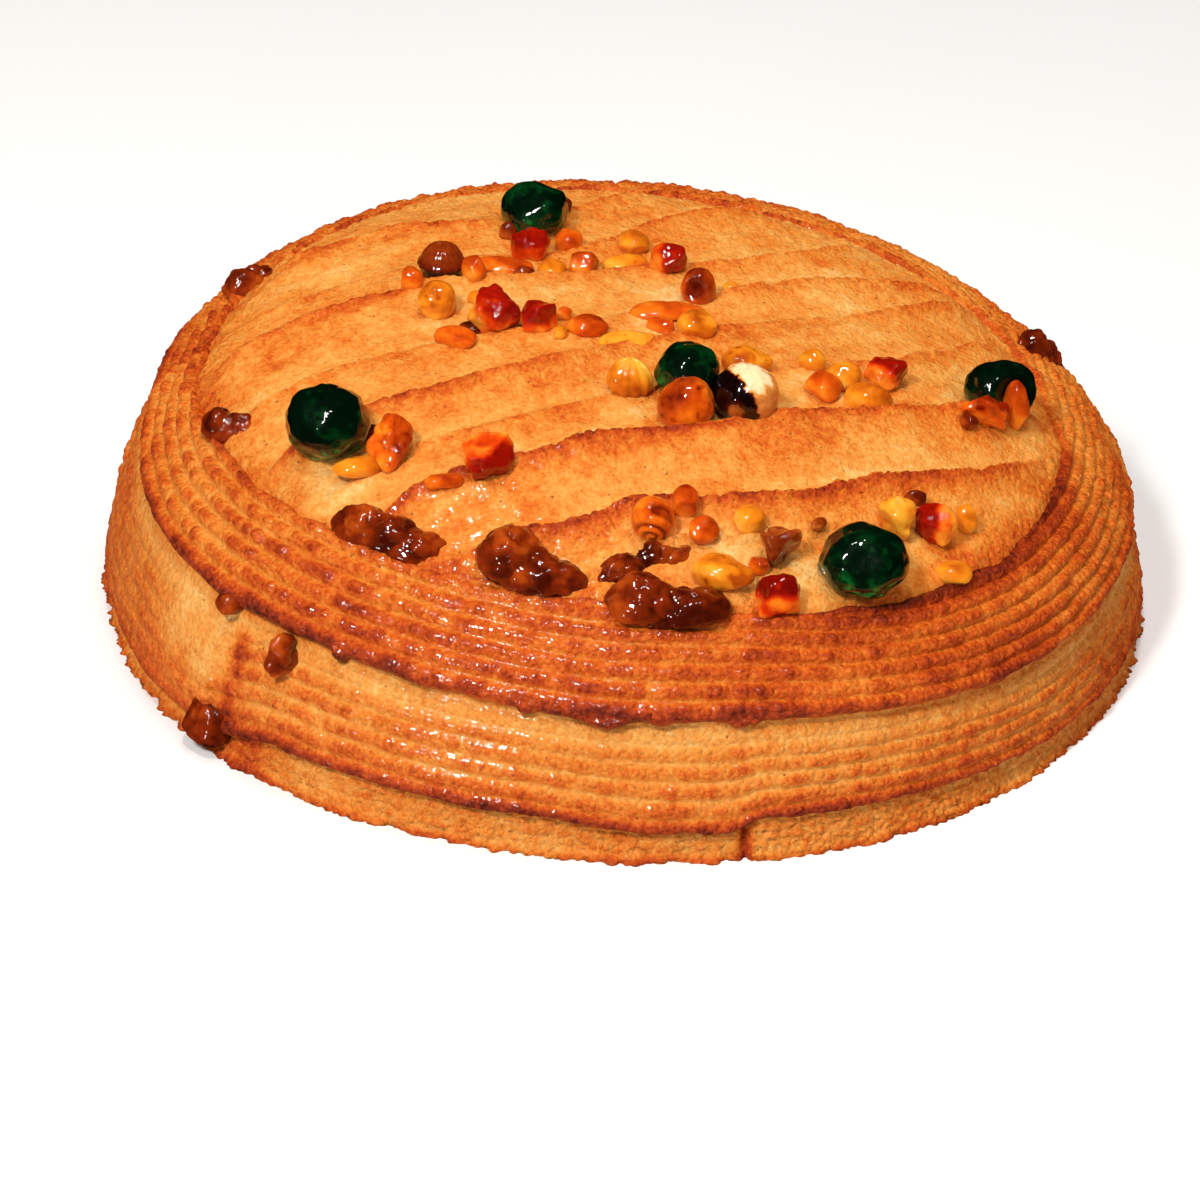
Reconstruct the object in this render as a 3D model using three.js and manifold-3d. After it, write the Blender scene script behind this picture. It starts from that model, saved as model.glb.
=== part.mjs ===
// A round, domed almond-paste cake, baked golden brown and set out with glacé fruit and nuts.
//
// Three ribbed ribbons of paste are wound round the side, each lapping over the one below.
// Smooth flat strips are piped side by side over the top, each with a raised, browned far edge.
// Glacé cherries, candied fruit and nuts lie on the top. Chopped nuts are baked into the crust.
//
// Millimetres, +Z up. The origin is the middle of the flat underside. The front is towards -Y.

import * as THREE from 'three';
import { mergeVertices } from 'three/addons/utils/BufferGeometryUtils.js';
import Module from 'manifold-3d';

const wasm = await Module();
wasm.setup();

// ---------------------------------------------------------------- driving dimensions

const RADIUS = 141;            // of the rounded outer form at its foot
const HEIGHT = 80;             // of that form in the middle
const SIDE_POWER = 2.9;        // how square the form is, outwards, at the front and sides
const BACK_POWER = 1.6;        // and how much squarer at the back
const TOP_POWER = 2.68;        // how square it is upwards
const LEAN_X = -0.08;          // share by which the height changes from the middle to the +X edge
const LEAN_Y = -0.015;         // and to the +Y edge
const OUT_OF_ROUND = 0.8;      // swing of the radius round the cake

const COLUMNS = 60;            // faces round the side
const RIB_HEIGHT = 0.9;        // from a rib's middle line to its crest
const BASE_RIBS = 4;
const MIDDLE_RIBS = 6;
const UPPER_RIBS = 7;
const RIBBON_WIDTH = 32;       // ribbed width of the upper ribbon, where there is room for it

const SEAM_DEG = -137;         // where each turn of ribbon starts and ends
const END_OUT = 1.5;           // how far the middle ribbon's end stands out over its start
const LAP_OUT = 2;             // how far a ribbon's lower edge stands out
const LAP_IN = -1.8;           // how far the one below is tucked in under it
const FOOT_OUT = 1.8;          // spread of the paste at the floor

// Height of a ribbon's lower edge at the seam, and its climbs round the cake from there:
// share of a turn where a climb starts, share that it takes, and its height.
const MIDDLE_LAP = {
  start: 5,
  climbs: [[0, 0.03, 5], [0.1, 0.05, -3], [0.163, 0.012, 3.5], [0.19, 0.1, -3], [0.4, 0.2, 2], [0.72, 0.2, -4.5]],
};
const UPPER_LAP = {
  start: 38,
  climbs: [[0.03, 0.1, -2], [0.16, 0.12, -4.5], [0.26, 0.6, 14.5], [0.86, 0.1, -8]],
};

const CAP_RADIUS = 109;        // mean radius of the smooth top's edge
const CAP_SHIFT = 12.5;        // how far its middle lies towards the front
const CAP_OVAL = 6;            // and how much it is longer than wide
const RIM_HEIGHT = 0.4;        // ribbon's inner edge above the rounded form
const CAP_SINK = 0.8;          // smooth top below it
const CORE_DEPTH = 9;          // ribbon body's inside, below the smooth top
const CAP_FLOOR = 30;          // underside of the smooth top, inside the cake

const STRIP_TURN_DEG = 30;     // the strips' run, turned from +X towards +Y
const STRIP_STEP = 2.6;        // width of the steep far face of a strip
const STRIP_FALL = 1.8;        // power by which a strip falls away from its far edge
const STRIP_END = 12;          // length over which a strip's relief dies out at the rim
const STRIP_COLUMNS = 18;
const STRIP_STATIONS = [-100, -50, 0, 50, 100];   // places along the strips

// The strips' raised far edges, front to back: distance across, and height, at each station.
const STRIP_EDGES = [
  { across: [-86, -92, -100, -106, -112], height: [1.0, 3.0, 2.0, 0.0, 0.0] },
  { across: [-68, -79, -89, -88, -73], height: [3.0, 4.0, 3.0, 3.0, 3.0] },
  { across: [-48, -54, -61, -64, -63], height: [4.0, 4.5, 4.5, 4.0, 3.5] },
  { across: [-32, -35, -38, -40, -29], height: [1.0, 1.0, 1.0, 2.0, 3.0] },
  { across: [-13, -16, -16, -15, -11], height: [3.5, 3.5, 3.0, 1.5, 3.5] },
  { across: [12, 6, 2, 4, 0], height: [2.0, 1.0, 1.0, 3.5, 3.0] },
  { across: [41, 36, 26, 20, 28], height: [4.0, 4.0, 2.5, 2.5, 2.5] },
  { across: [60, 52, 42, 51, 52], height: [1.5, 1.0, 2.0, 4.0, 3.0] },
  { across: [84, 78, 64, 74, 70], height: [3.5, 3.5, 3.0, 3.0, 2.0] },
  { across: [108, 108, 108, 108, 108], height: [0.0, 0.0, 0.0, 0.0, 0.0] },
];

const GAP = 0.3;               // between a topping and what it rests on

// Caramelised lumps where a strip or a ribbon ends: from, to, width, height above the crust.
const TOP_LUMPS = [
  { from: [-67, -91.5], to: [-49, -100.5], width: 9, height: 5 },
  { from: [-30, -106], to: [-17, -111], width: 12, height: 7 },
  { from: [3, -115], to: [20, -116], width: 11, height: 6 },
  { from: [-107, -42], to: [-101, -45], width: 8, height: 4 },
  { from: [-110, 36], to: [-105, 40], width: 8, height: 3 },
  { from: [109, 38], to: [117, 46], width: 7, height: 3 },
];

// Lumps on the side: bearing, height of the middle, size across, out and up.
const SIDE_LUMPS = [
  { bearing: -137, z: 38, size: [6, 7, 5.5] },
  { bearing: -127.7, z: 33, size: [6, 8, 10] },
  { bearing: -137, z: 7, size: [11, 10, 11.5] },
];

const SINK = 2;                // how deep a topping's underside lies in the crust

// Toppings as large as berries. at: place on the top; size: width, depth and height; turn in degrees.
const CHERRIES = [
  { name: 'cherry_front', at: [59, -97.5], size: [23, 22, 18], turn: 20 },
  { name: 'cherry_left', at: [-77, -66], size: [22, 21, 19], turn: 70 },
  { name: 'cherry_back', at: [-30, 52], size: [20, 19, 14], turn: 140 },
  { name: 'cherry_right', at: [97.5, -12.5], size: [19, 19, 16.5], turn: 200 },
  { name: 'cherry_centre', at: [14, -39], size: [17, 17, 16], turn: 260 },
];

const NUTS = [
  { name: 'hazelnut_amber', at: [13.5, -53], size: [15, 14, 14.5], turn: 15 },
  { name: 'hazelnut_burnt', at: [29, -47], size: [17.5, 17, 16.5], turn: 40 },
  { name: 'hazelnut_pale', at: [-1, -40.5], size: [12.5, 12, 11.5], turn: 80 },
  { name: 'hazelnut_far', at: [29.5, -23], size: [13, 12, 9], turn: 10 },
  { name: 'hazelnut_brown', at: [-53.5, 18], size: [12, 11.5, 12.5], turn: 0 },
  { name: 'hazelnut_golden', at: [-53, -5], size: [11.5, 11, 11.5], turn: 50 },
  { name: 'hazelnut_shell', at: [16, 14], size: [10, 9.5, 11.5], turn: 60 },
  { name: 'hazelnut_curled', at: [6.5, -97], size: [11, 11, 11.5], turn: 30 },
  { name: 'hazelnut_front', at: [38, -97.5], size: [11.5, 11, 12.5], turn: 25 },
  { name: 'almond_front', at: [24.5, -107], size: [16, 11, 9], turn: -15 },
  { name: 'almond_long', at: [-1.5, -16], size: [17, 10, 6.5], turn: 12 },
  { name: 'almond_right', at: [68, -79.5], size: [10, 11, 12], turn: 35 },
  { name: 'praline_left', at: [-59.5, -72], size: [12.5, 12, 11.5], turn: 35 },
  { name: 'praline_right', at: [93, -26], size: [12, 11, 10.5], turn: 30 },
];

const FRUIT = [
  { name: 'candied_front', at: [38, -110], size: [10, 9, 11], turn: 5 },
  { name: 'candied_right', at: [78, -75.5], size: [10, 9, 10], turn: -20 },
  { name: 'candied_left', at: [-36, -81.5], size: [12, 10.5, 10.5], turn: 15 },
  { name: 'candied_orange', at: [-38, -10], size: [13, 11, 12.5], turn: 25 },
  { name: 'candied_dark', at: [-26, -11], size: [9, 8, 9.5], turn: 10 },
  { name: 'candied_back', at: [-30, 33], size: [10, 9, 8.5], turn: 0 },
  { name: 'candied_small', at: [7.5, 30.5], size: [9.5, 8, 8], turn: -10 },
  { name: 'candied_far', at: [67, -17.5], size: [10, 9, 9], turn: -30 },
];

// Chopped nuts baked into the crust: place, size and turn.
const CHOPPED = [
  { at: [-13, -10], size: [11.5, 8, 6], turn: 10 },
  { at: [-44.5, 13], size: [7, 8, 8], turn: 20 },
  { at: [-37, 23.5], size: [17, 9, 5], turn: -10 },
  { at: [-20, 41], size: [8, 8, 8], turn: 60 },
  { at: [-24, 22.5], size: [8, 8, 7], turn: 0 },
  { at: [-15.5, 26], size: [10.5, 9, 8], turn: 40 },
  { at: [-2, 42.5], size: [9, 8, 7], turn: 10 },
  { at: [-4, 31.5], size: [13, 9, 5], turn: 20 },
  { at: [8, 3], size: [20, 9, 5], turn: 5 },
  { at: [16, -8], size: [11, 10, 8], turn: 30 },
  { at: [46.5, -18], size: [7, 7, 6], turn: 0 },
  { at: [55, -24.5], size: [8, 9, 8], turn: 80 },
  { at: [48.5, -32.5], size: [10, 9, 8], turn: 15 },
  { at: [61.5, -34], size: [13, 9, 7], turn: -10 },
  { at: [104, -23], size: [7, 8, 9], turn: 20 },
  { at: [86.5, -68], size: [6, 7, 8], turn: 40 },
  { at: [83, -85], size: [9, 8, 6], turn: 0 },
  { at: [14, -90], size: [8, 8, 8], turn: 10 },
  { at: [19, -96.5], size: [9, 8, 7], turn: 60 },
  { at: [30.5, -90], size: [9, 8, 7], turn: 30 },
  { at: [-68.5, -78], size: [10, 8, 7], turn: 20 },
  { at: [-46, -86], size: [10, 6, 4.5], turn: 10 },
  { at: [-47.5, -21.5], size: [11, 8, 6], turn: -15 },
  { at: [-61, 7], size: [7, 7, 7], turn: 25 },
];

// ---------------------------------------------------------------- small helpers

const radians = THREE.MathUtils.degToRad;
const smooth = (value) => THREE.MathUtils.smoothstep(value, 0, 1);
const blend = THREE.MathUtils.lerp;

/** A smooth curve through values given at the strips' stations. */
function alongStrip(values, along) {
  const last = STRIP_STATIONS.length - 1;
  const clamped = THREE.MathUtils.clamp(along, STRIP_STATIONS[0], STRIP_STATIONS[last]);
  const next = Math.max(1, STRIP_STATIONS.findIndex((station) => station >= clamped));
  const start = STRIP_STATIONS[next - 1];
  const share = (clamped - start) / (STRIP_STATIONS[next] - start);
  return blend(values[next - 1], values[next], smooth(share));
}

/** A closed three.js geometry as a solid that can be joined and cut. */
function toSolid(geometry) {
  const bare = geometry.index ? geometry.toNonIndexed() : geometry.clone();
  bare.deleteAttribute('normal');
  bare.deleteAttribute('uv');
  const merged = mergeVertices(bare, 1e-4);
  const triVerts = [];
  const index = merged.index.array;
  for (let i = 0; i < index.length; i += 3) {
    const [a, b, c] = [index[i], index[i + 1], index[i + 2]];
    if (a !== b && b !== c && c !== a) triVerts.push(a, b, c);
  }
  return new wasm.Manifold(new wasm.Mesh({
    numProp: 3,
    vertProperties: new Float32Array(merged.attributes.position.array),
    triVerts: new Uint32Array(triVerts),
  }));
}

/** The largest connected body of a solid, without the loose scraps that a cut can leave. */
function largestBody(solid) {
  return solid.decompose().reduce((best, body) => (body.volume() > best.volume() ? body : best));
}

function toGeometry(solid) {
  const mesh = solid.getMesh();
  const geometry = new THREE.BufferGeometry();
  geometry.setAttribute('position', new THREE.BufferAttribute(mesh.vertProperties, 3));
  geometry.setIndex(new THREE.BufferAttribute(mesh.triVerts, 1));
  geometry.computeVertexNormals();
  return geometry;
}

/** A closed geometry from a grid of points: rows of equal length, joined round or ended by points. */
function gridGeometry(points, faces) {
  const geometry = new THREE.BufferGeometry();
  geometry.setAttribute('position', new THREE.Float32BufferAttribute(points.flat(), 3));
  geometry.setIndex(faces);
  return geometry;
}

// ---------------------------------------------------------------- the rounded outer form

const sidePower = (bearing) => SIDE_POWER + BACK_POWER * smooth(Math.sin(radians(bearing)));

function formRadius(z, bearing) {
  return RADIUS * (1 - (z / HEIGHT) ** TOP_POWER) ** (1 / sidePower(bearing));
}

function formHeight(radius, bearing) {
  const share = Math.min(radius / RADIUS, 0.999);
  return HEIGHT * (1 - share ** sidePower(bearing)) ** (1 / TOP_POWER);
}

/** The form's side at one bearing: distances up its surface, and points moved out from it. */
function sideCurve(bearing) {
  const steps = 400;
  const curve = [{ r: formRadius(0, bearing), z: 0, length: 0 }];
  for (let i = 1; i <= steps; i += 1) {
    const z = (HEIGHT * 0.985 * i) / steps;
    const r = formRadius(z, bearing);
    const before = curve[i - 1];
    curve.push({ r, z, length: before.length + Math.hypot(r - before.r, z - before.z) });
  }
  const lengthAt = (z) => curve.find((point) => point.z >= z).length;
  const pointAt = (length, out) => {
    const next = Math.max(1, curve.findIndex((point) => point.length >= length));
    const [a, b] = [curve[next - 1], curve[next]];
    const share = (length - a.length) / (b.length - a.length);
    const run = b.length - a.length;
    return {
      r: blend(a.r, b.r, share) + (out * (b.z - a.z)) / run,
      z: blend(a.z, b.z, share) + (out * (a.r - b.r)) / run,
    };
  };
  return { lengthAt, pointAt };
}

const lean = (x, y, z) => z * (1 + (LEAN_X * x + LEAN_Y * y) / RADIUS);

const turnShare = (bearing) => THREE.MathUtils.euclideanModulo((bearing - SEAM_DEG) / 360, 1);

const outOfRound = (bearing) => OUT_OF_ROUND * (
  Math.sin(radians(2 * bearing + 40)) + 0.6 * Math.sin(radians(5 * bearing + 10))
);

const capRadius = (bearing) => CAP_RADIUS
  + CAP_SHIFT * Math.cos(radians(bearing + 95)) + CAP_OVAL * Math.cos(radians(2 * bearing + 30));

// ---------------------------------------------------------------- the ribbons round the side

function lapHeight({ start, climbs }, bearing) {
  const share = turnShare(bearing);
  return climbs.reduce((z, [from, run, height]) => z + height * smooth((share - from) / run), start);
}

/** One ribbon's points up the side: its ribs, on a line from one set-out to another. */
function ribbonRows(side, start, end, ribs, startOut, endOut) {
  const rows = [];
  for (let i = 0; i <= 2 * ribs; i += 1) {
    const share = i / (2 * ribs);
    const rib = i % 2 === 1 ? RIB_HEIGHT : -RIB_HEIGHT;
    const out = blend(startOut, endOut, Math.sqrt(share)) + rib;
    rows.push(side.pointAt(blend(start, end, share), out));
  }
  return rows;
}

/** The cake's section at one bearing, from the floor up to the inside of the upper ribbon. */
function sideSection(bearing) {
  const side = sideCurve(bearing);
  const middle = side.lengthAt(lapHeight(MIDDLE_LAP, bearing));
  const upper = side.lengthAt(lapHeight(UPPER_LAP, bearing));
  const edge = capRadius(bearing);
  const edgeHeight = formHeight(edge, bearing);
  const edgeLength = side.lengthAt(edgeHeight);
  const ribsEnd = Math.min(edgeLength - 1, upper + RIBBON_WIDTH);
  const endOut = END_OUT * smooth((turnShare(bearing) - 0.93) / 0.05);
  const base = ribbonRows(side, 0, middle, BASE_RIBS, FOOT_OUT, LAP_IN + RIB_HEIGHT);
  base[0].z = 0;
  const section = [
    ...base,
    ...ribbonRows(side, middle, upper, MIDDLE_RIBS, LAP_OUT + endOut, LAP_IN + endOut),
    ...ribbonRows(side, upper, ribsEnd, UPPER_RIBS, LAP_OUT + endOut, RIM_HEIGHT),
    side.pointAt(edgeLength, RIM_HEIGHT),
    { r: edge - 3, z: edgeHeight - 3 },
    { r: edge - 12, z: edgeHeight - CORE_DEPTH },
  ];
  const swell = outOfRound(bearing);
  return section.map((point) => ({ r: point.r + swell, z: Math.max(0, point.z) }));
}

function onBearing(bearing, { r, z }) {
  const x = r * Math.cos(radians(bearing));
  const y = r * Math.sin(radians(bearing));
  return [x, y, lean(x, y, z)];
}

/** The ribboned side as a closed solid, hollowed a little where the smooth top goes in. */
function ribbonedSide() {
  const points = [];
  let rows = 0;
  for (let column = 0; column < COLUMNS; column += 1) {
    const bearing = (360 * column) / COLUMNS;
    const section = sideSection(bearing);
    rows = section.length;
    section.forEach((point) => points.push(onBearing(bearing, point)));
  }
  const faces = [];
  const at = (column, row) => (column % COLUMNS) * rows + row;
  const bottom = points.push([0, 0, 0]) - 1;
  const top = points.push([0, 0, HEIGHT - 2 * CORE_DEPTH]) - 1;
  for (let column = 0; column < COLUMNS; column += 1) {
    for (let row = 0; row < rows - 1; row += 1) {
      const [a, b] = [at(column, row), at(column + 1, row)];
      const [c, d] = [at(column + 1, row + 1), at(column, row + 1)];
      faces.push(a, b, c, a, c, d);
    }
    faces.push(bottom, at(column + 1, 0), at(column, 0));
    faces.push(top, at(column, rows - 1), at(column + 1, rows - 1));
  }
  return toSolid(gridGeometry(points, faces));
}

// ---------------------------------------------------------------- the strips over the top

const STRIP_COS = Math.cos(radians(STRIP_TURN_DEG));
const STRIP_SIN = Math.sin(radians(STRIP_TURN_DEG));

/** Height that the strips add to the top at a place given along and across them. */
function stripRelief(along, across) {
  const edges = STRIP_EDGES.map((edge) => ({
    across: alongStrip(edge.across, along),
    height: alongStrip(edge.height, along),
  }));
  const far = edges.findIndex((edge) => edge.across >= across);
  if (far < 1) return 0;
  const [front, back] = [edges[far - 1], edges[far]];
  const share = (back.across - across) / (back.across - front.across);
  const fall = back.height * (1 - share) ** STRIP_FALL;
  const step = front.height * smooth(1 - (across - front.across) / STRIP_STEP);
  return Math.max(fall, step);
}

/** The smooth top's height at a place. */
function topHeight(x, y) {
  const radius = Math.hypot(x, y);
  const bearing = THREE.MathUtils.radToDeg(Math.atan2(y, x));
  const fade = smooth((capRadius(bearing) - radius) / STRIP_END);
  const relief = stripRelief(x * STRIP_COS + y * STRIP_SIN, y * STRIP_COS - x * STRIP_SIN);
  return lean(x, y, formHeight(radius, bearing)) - CAP_SINK + fade * relief;
}

/** Lines across the strips, close together at each raised edge. */
function stripLines(along) {
  const lines = [];
  STRIP_EDGES.forEach((edge, i) => {
    const here = alongStrip(edge.across, along);
    if (i > 0) {
      const before = alongStrip(STRIP_EDGES[i - 1].across, along) + STRIP_STEP;
      lines.push(blend(here, before, 0.66), blend(here, before, 0.3));
    }
    lines.push(here, here + STRIP_STEP);
  });
  return [-RADIUS, ...lines, RADIUS];
}

/** The smooth top as a closed block, before it is cut to its outline. */
function stripBlock() {
  const points = [];
  let rows = 0;
  for (let column = 0; column <= STRIP_COLUMNS; column += 1) {
    const along = blend(-RADIUS, RADIUS, column / STRIP_COLUMNS);
    const lines = stripLines(along);
    rows = lines.length;
    const places = lines.map((across) => [
      along * STRIP_COS - across * STRIP_SIN,
      along * STRIP_SIN + across * STRIP_COS,
    ]);
    places.forEach(([x, y]) => points.push([x, y, Math.max(CAP_FLOOR + 1, topHeight(x, y))]));
    places.forEach(([x, y]) => points.push([x, y, CAP_FLOOR]));
  }
  const at = (column, row) => column * 2 * rows + row;
  const faces = [];
  const quad = (a, b, c, d) => faces.push(a, b, c, a, c, d);
  for (let column = 0; column < STRIP_COLUMNS; column += 1) {
    for (let row = 0; row < rows - 1; row += 1) {
      quad(at(column, row), at(column + 1, row), at(column + 1, row + 1), at(column, row + 1));
      quad(at(column, rows + row), at(column, rows + row + 1),
        at(column + 1, rows + row + 1), at(column + 1, rows + row));
    }
    quad(at(column, rows), at(column + 1, rows), at(column + 1, 0), at(column, 0));
    quad(at(column + 1, 2 * rows - 1), at(column, 2 * rows - 1),
      at(column, rows - 1), at(column + 1, rows - 1));
  }
  for (let row = 0; row < rows - 1; row += 1) {
    quad(at(0, row), at(0, row + 1), at(0, rows + row + 1), at(0, rows + row));
    quad(at(STRIP_COLUMNS, row + 1), at(STRIP_COLUMNS, row),
      at(STRIP_COLUMNS, rows + row), at(STRIP_COLUMNS, rows + row + 1));
  }
  return toSolid(gridGeometry(points, faces));
}

/** The upright prism that the smooth top is cut to, just inside the upper ribbon. */
function capPrism() {
  const outline = new THREE.Shape();
  for (let column = 0; column < COLUMNS; column += 1) {
    const bearing = (360 * column) / COLUMNS;
    const radius = capRadius(bearing) + outOfRound(bearing);
    const [x, y] = [radius * Math.cos(radians(bearing)), radius * Math.sin(radians(bearing))];
    if (column === 0) outline.moveTo(x, y);
    else outline.lineTo(x, y);
  }
  outline.closePath();
  const prism = new THREE.ExtrudeGeometry(outline, { depth: 2 * HEIGHT, bevelEnabled: false });
  return toSolid(prism);
}

// ---------------------------------------------------------------- lumps, nuts and fruit

/** A lumpy rounded stone: a sphere of width 1 with a few soft dents, fixed by its seed. */
function pebble(columns, rows, seed, roughness) {
  const geometry = new THREE.SphereGeometry(0.5, columns, rows);
  const position = geometry.attributes.position;
  const point = new THREE.Vector3();
  for (let i = 0; i < position.count; i += 1) {
    point.fromBufferAttribute(position, i);
    const swell = Math.sin(7 * point.x + seed) + Math.sin(8 * point.y + 2.3 * seed)
      + Math.sin(6 * point.z + 3.1 * seed);
    point.multiplyScalar(1 + (roughness * swell) / 3);
    position.setXYZ(i, point.x, point.y, point.z);
  }
  return geometry;
}

/** A rounded block of candied fruit, of width 1. */
function fruitBlock(seed) {
  const geometry = new THREE.BoxGeometry(1, 1, 1, 2, 2, 2);
  const position = geometry.attributes.position;
  const point = new THREE.Vector3();
  for (let i = 0; i < position.count; i += 1) {
    point.fromBufferAttribute(position, i);
    const round = point.clone().normalize().multiplyScalar(0.6);
    point.lerp(round, 0.45);
    point.x += 0.12 * point.z * Math.sin(seed);
    point.y += 0.12 * point.z * Math.cos(2 * seed);
    position.setXYZ(i, point.x, point.y, point.z);
  }
  return geometry;
}

/** A geometry of width 1 made to size, turned about the upright and set down on the top. */
function setDown(geometry, { at, size, turn, sink = SINK }) {
  geometry.scale(...size);
  geometry.rotateZ(radians(turn));
  geometry.translate(at[0], at[1], topHeight(...at) + size[2] / 2 - sink);
  return geometry;
}

/** A caramelised end: two long pebbles, one after the other. */
function topLump({ from, to, width, height }, seed) {
  const run = [to[0] - from[0], to[1] - from[1]];
  const turn = THREE.MathUtils.radToDeg(Math.atan2(run[1], run[0]));
  const long = Math.hypot(...run) * 0.5 + width * 0.7;
  return wasm.Manifold.union([0.12, 0.88].map((share, i) => {
    const at = [from[0] + share * run[0], from[1] + share * run[1]];
    const size = [long, width * (1 - 0.2 * i), height + 4];
    return toSolid(setDown(pebble(8, 5, seed + i, 0.16), { at, size, turn: turn + 25 * i, sink: 4 }));
  }));
}

function sideLump({ bearing, z, size }, seed) {
  const geometry = pebble(8, 6, seed, 0.16);
  const [across, out, up] = size;
  geometry.scale(out, across, up);
  geometry.rotateZ(radians(bearing));
  const [x, y, lifted] = onBearing(bearing, { r: formRadius(z, bearing) + out / 4, z });
  geometry.translate(x, y, Math.max(lifted, up * 0.6));
  return toSolid(geometry);
}

const choppedNut = ({ at, size, turn }, seed) => toSolid(
  setDown(pebble(6, 4, seed, 0.14), { at, size, turn, sink: size[2] * 0.25 }),
);

// ---------------------------------------------------------------- materials

const MATERIALS = {
  cake: new THREE.MeshStandardMaterial({ color: '#d98a45', roughness: 0.7, metalness: 0 }),
  cherry: new THREE.MeshStandardMaterial({ color: '#0d2f12', roughness: 0.12, metalness: 0 }),
  nut: new THREE.MeshStandardMaterial({ color: '#c47a35', roughness: 0.3, metalness: 0 }),
  fruit: new THREE.MeshStandardMaterial({ color: '#b8360f', roughness: 0.15, metalness: 0 }),
};

// ---------------------------------------------------------------- assembly

/** The baked paste alone: ribbons, strips and their caramelised ends. */
function crustSolid() {
  const cap = stripBlock().intersect(capPrism());
  const topLumps = TOP_LUMPS.map((lump, i) => topLump(lump, i + 1));
  const sideLumps = SIDE_LUMPS.map((lump, i) => sideLump(lump, i + 11));
  return largestBody(wasm.Manifold.union([ribbonedSide(), cap, ...topLumps, ...sideLumps]));
}

/** Toppings cut to the crust and to those set down before them, so that they only touch. */
function layToppings(crust) {
  const kinds = [
    { rows: CHERRIES, material: MATERIALS.cherry, shape: (seed) => pebble(10, 8, seed, 0.07) },
    { rows: NUTS, material: MATERIALS.nut, shape: (seed) => pebble(8, 6, seed, 0.06) },
    { rows: FRUIT, material: MATERIALS.fruit, shape: (seed) => fruitBlock(seed) },
  ];
  const seat = crust.translate([0, 0, GAP]);
  const laid = [];
  kinds.forEach(({ rows, material, shape }) => rows.forEach((row, i) => {
    const whole = toSolid(setDown(shape(i + 1), row));
    const cut = laid.reduce((solid, other) => solid.subtract(other.clearance), whole.subtract(seat));
    const wider = row.size.map((width) => width + 2 * GAP);
    const clearance = toSolid(setDown(shape(i + 1), { ...row, size: wider, sink: SINK + GAP }));
    laid.push({ name: row.name, material, solid: largestBody(cut), clearance });
  }));
  return laid;
}

/** Chopped nuts joined to the crust, each cut back from the toppings next to it. */
function addChopped(crust, toppings) {
  const clearance = wasm.Manifold.union(toppings.map((topping) => topping.clearance));
  const pieces = CHOPPED.map((nut, i) => largestBody(choppedNut(nut, i + 21).subtract(clearance)));
  return largestBody(wasm.Manifold.union([crust, ...pieces]));
}

function namedMesh(name, solid, material) {
  const mesh = new THREE.Mesh(toGeometry(solid), material);
  mesh.name = name;
  return mesh;
}

const crust = crustSolid();
const toppings = layToppings(crust);

const group = new THREE.Group();
group.add(namedMesh('cake', addChopped(crust, toppings), MATERIALS.cake));
toppings.forEach(({ name, solid, material }) => group.add(namedMesh(name, solid, material)));

export default group;
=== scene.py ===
"""Looks for a round, domed almond-paste cake with ribbed sides and a smooth piped top.

Lengths are worked out in millimetres, as in the part's source, and made metres when a mesh is built.
Three numbers at each point of the crust steer its look: bake (how brown, with painted shade at a seam and in
a cleft), wet (how much glaze lies on it) and grain (how crumbly it is). Toppings carry one, tint, which
places them on their palette and on a few also carries painted shade or glow.
"""

import math

import bpy
import numpy as np
from mathutils import Matrix, Vector


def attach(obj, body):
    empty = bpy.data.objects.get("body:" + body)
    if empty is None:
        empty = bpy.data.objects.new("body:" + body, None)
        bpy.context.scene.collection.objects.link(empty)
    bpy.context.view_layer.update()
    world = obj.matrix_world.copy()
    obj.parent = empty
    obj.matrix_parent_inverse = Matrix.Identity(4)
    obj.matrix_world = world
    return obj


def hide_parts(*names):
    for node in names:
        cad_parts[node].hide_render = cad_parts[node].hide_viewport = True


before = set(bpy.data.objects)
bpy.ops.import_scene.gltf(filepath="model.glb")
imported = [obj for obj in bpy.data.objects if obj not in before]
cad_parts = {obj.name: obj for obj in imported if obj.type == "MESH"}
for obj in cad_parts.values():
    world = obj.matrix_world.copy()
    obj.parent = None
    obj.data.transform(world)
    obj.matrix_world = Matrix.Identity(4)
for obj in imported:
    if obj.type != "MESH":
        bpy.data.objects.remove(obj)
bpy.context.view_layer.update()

# ---- the part's named sizes

RADIUS = 141
HEIGHT = 80
SIDE_POWER = 2.9
BACK_POWER = 1.6
TOP_POWER = 2.68
LEAN_X = -0.08
LEAN_Y = -0.015
OUT_OF_ROUND = 0.8

SEAM_DEG = -137
END_OUT = 1.5
LAP_OUT = 2
LAP_IN = -1.8
FOOT_OUT = 1.8
MIDDLE_LAP = (
    5,
    [(0, 0.03, 5), (0.1, 0.05, -3), (0.163, 0.012, 3.5), (0.19, 0.1, -3), (0.4, 0.2, 2), (0.72, 0.2, -4.5)],
)
UPPER_LAP = (38, [(0.03, 0.1, -2), (0.16, 0.12, -4.5), (0.26, 0.6, 14.5), (0.86, 0.1, -8)])

CAP_RADIUS = 109
CAP_SHIFT = 12.5
CAP_OVAL = 6
RIM_HEIGHT = 0.4
CAP_SINK = 0.8

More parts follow.
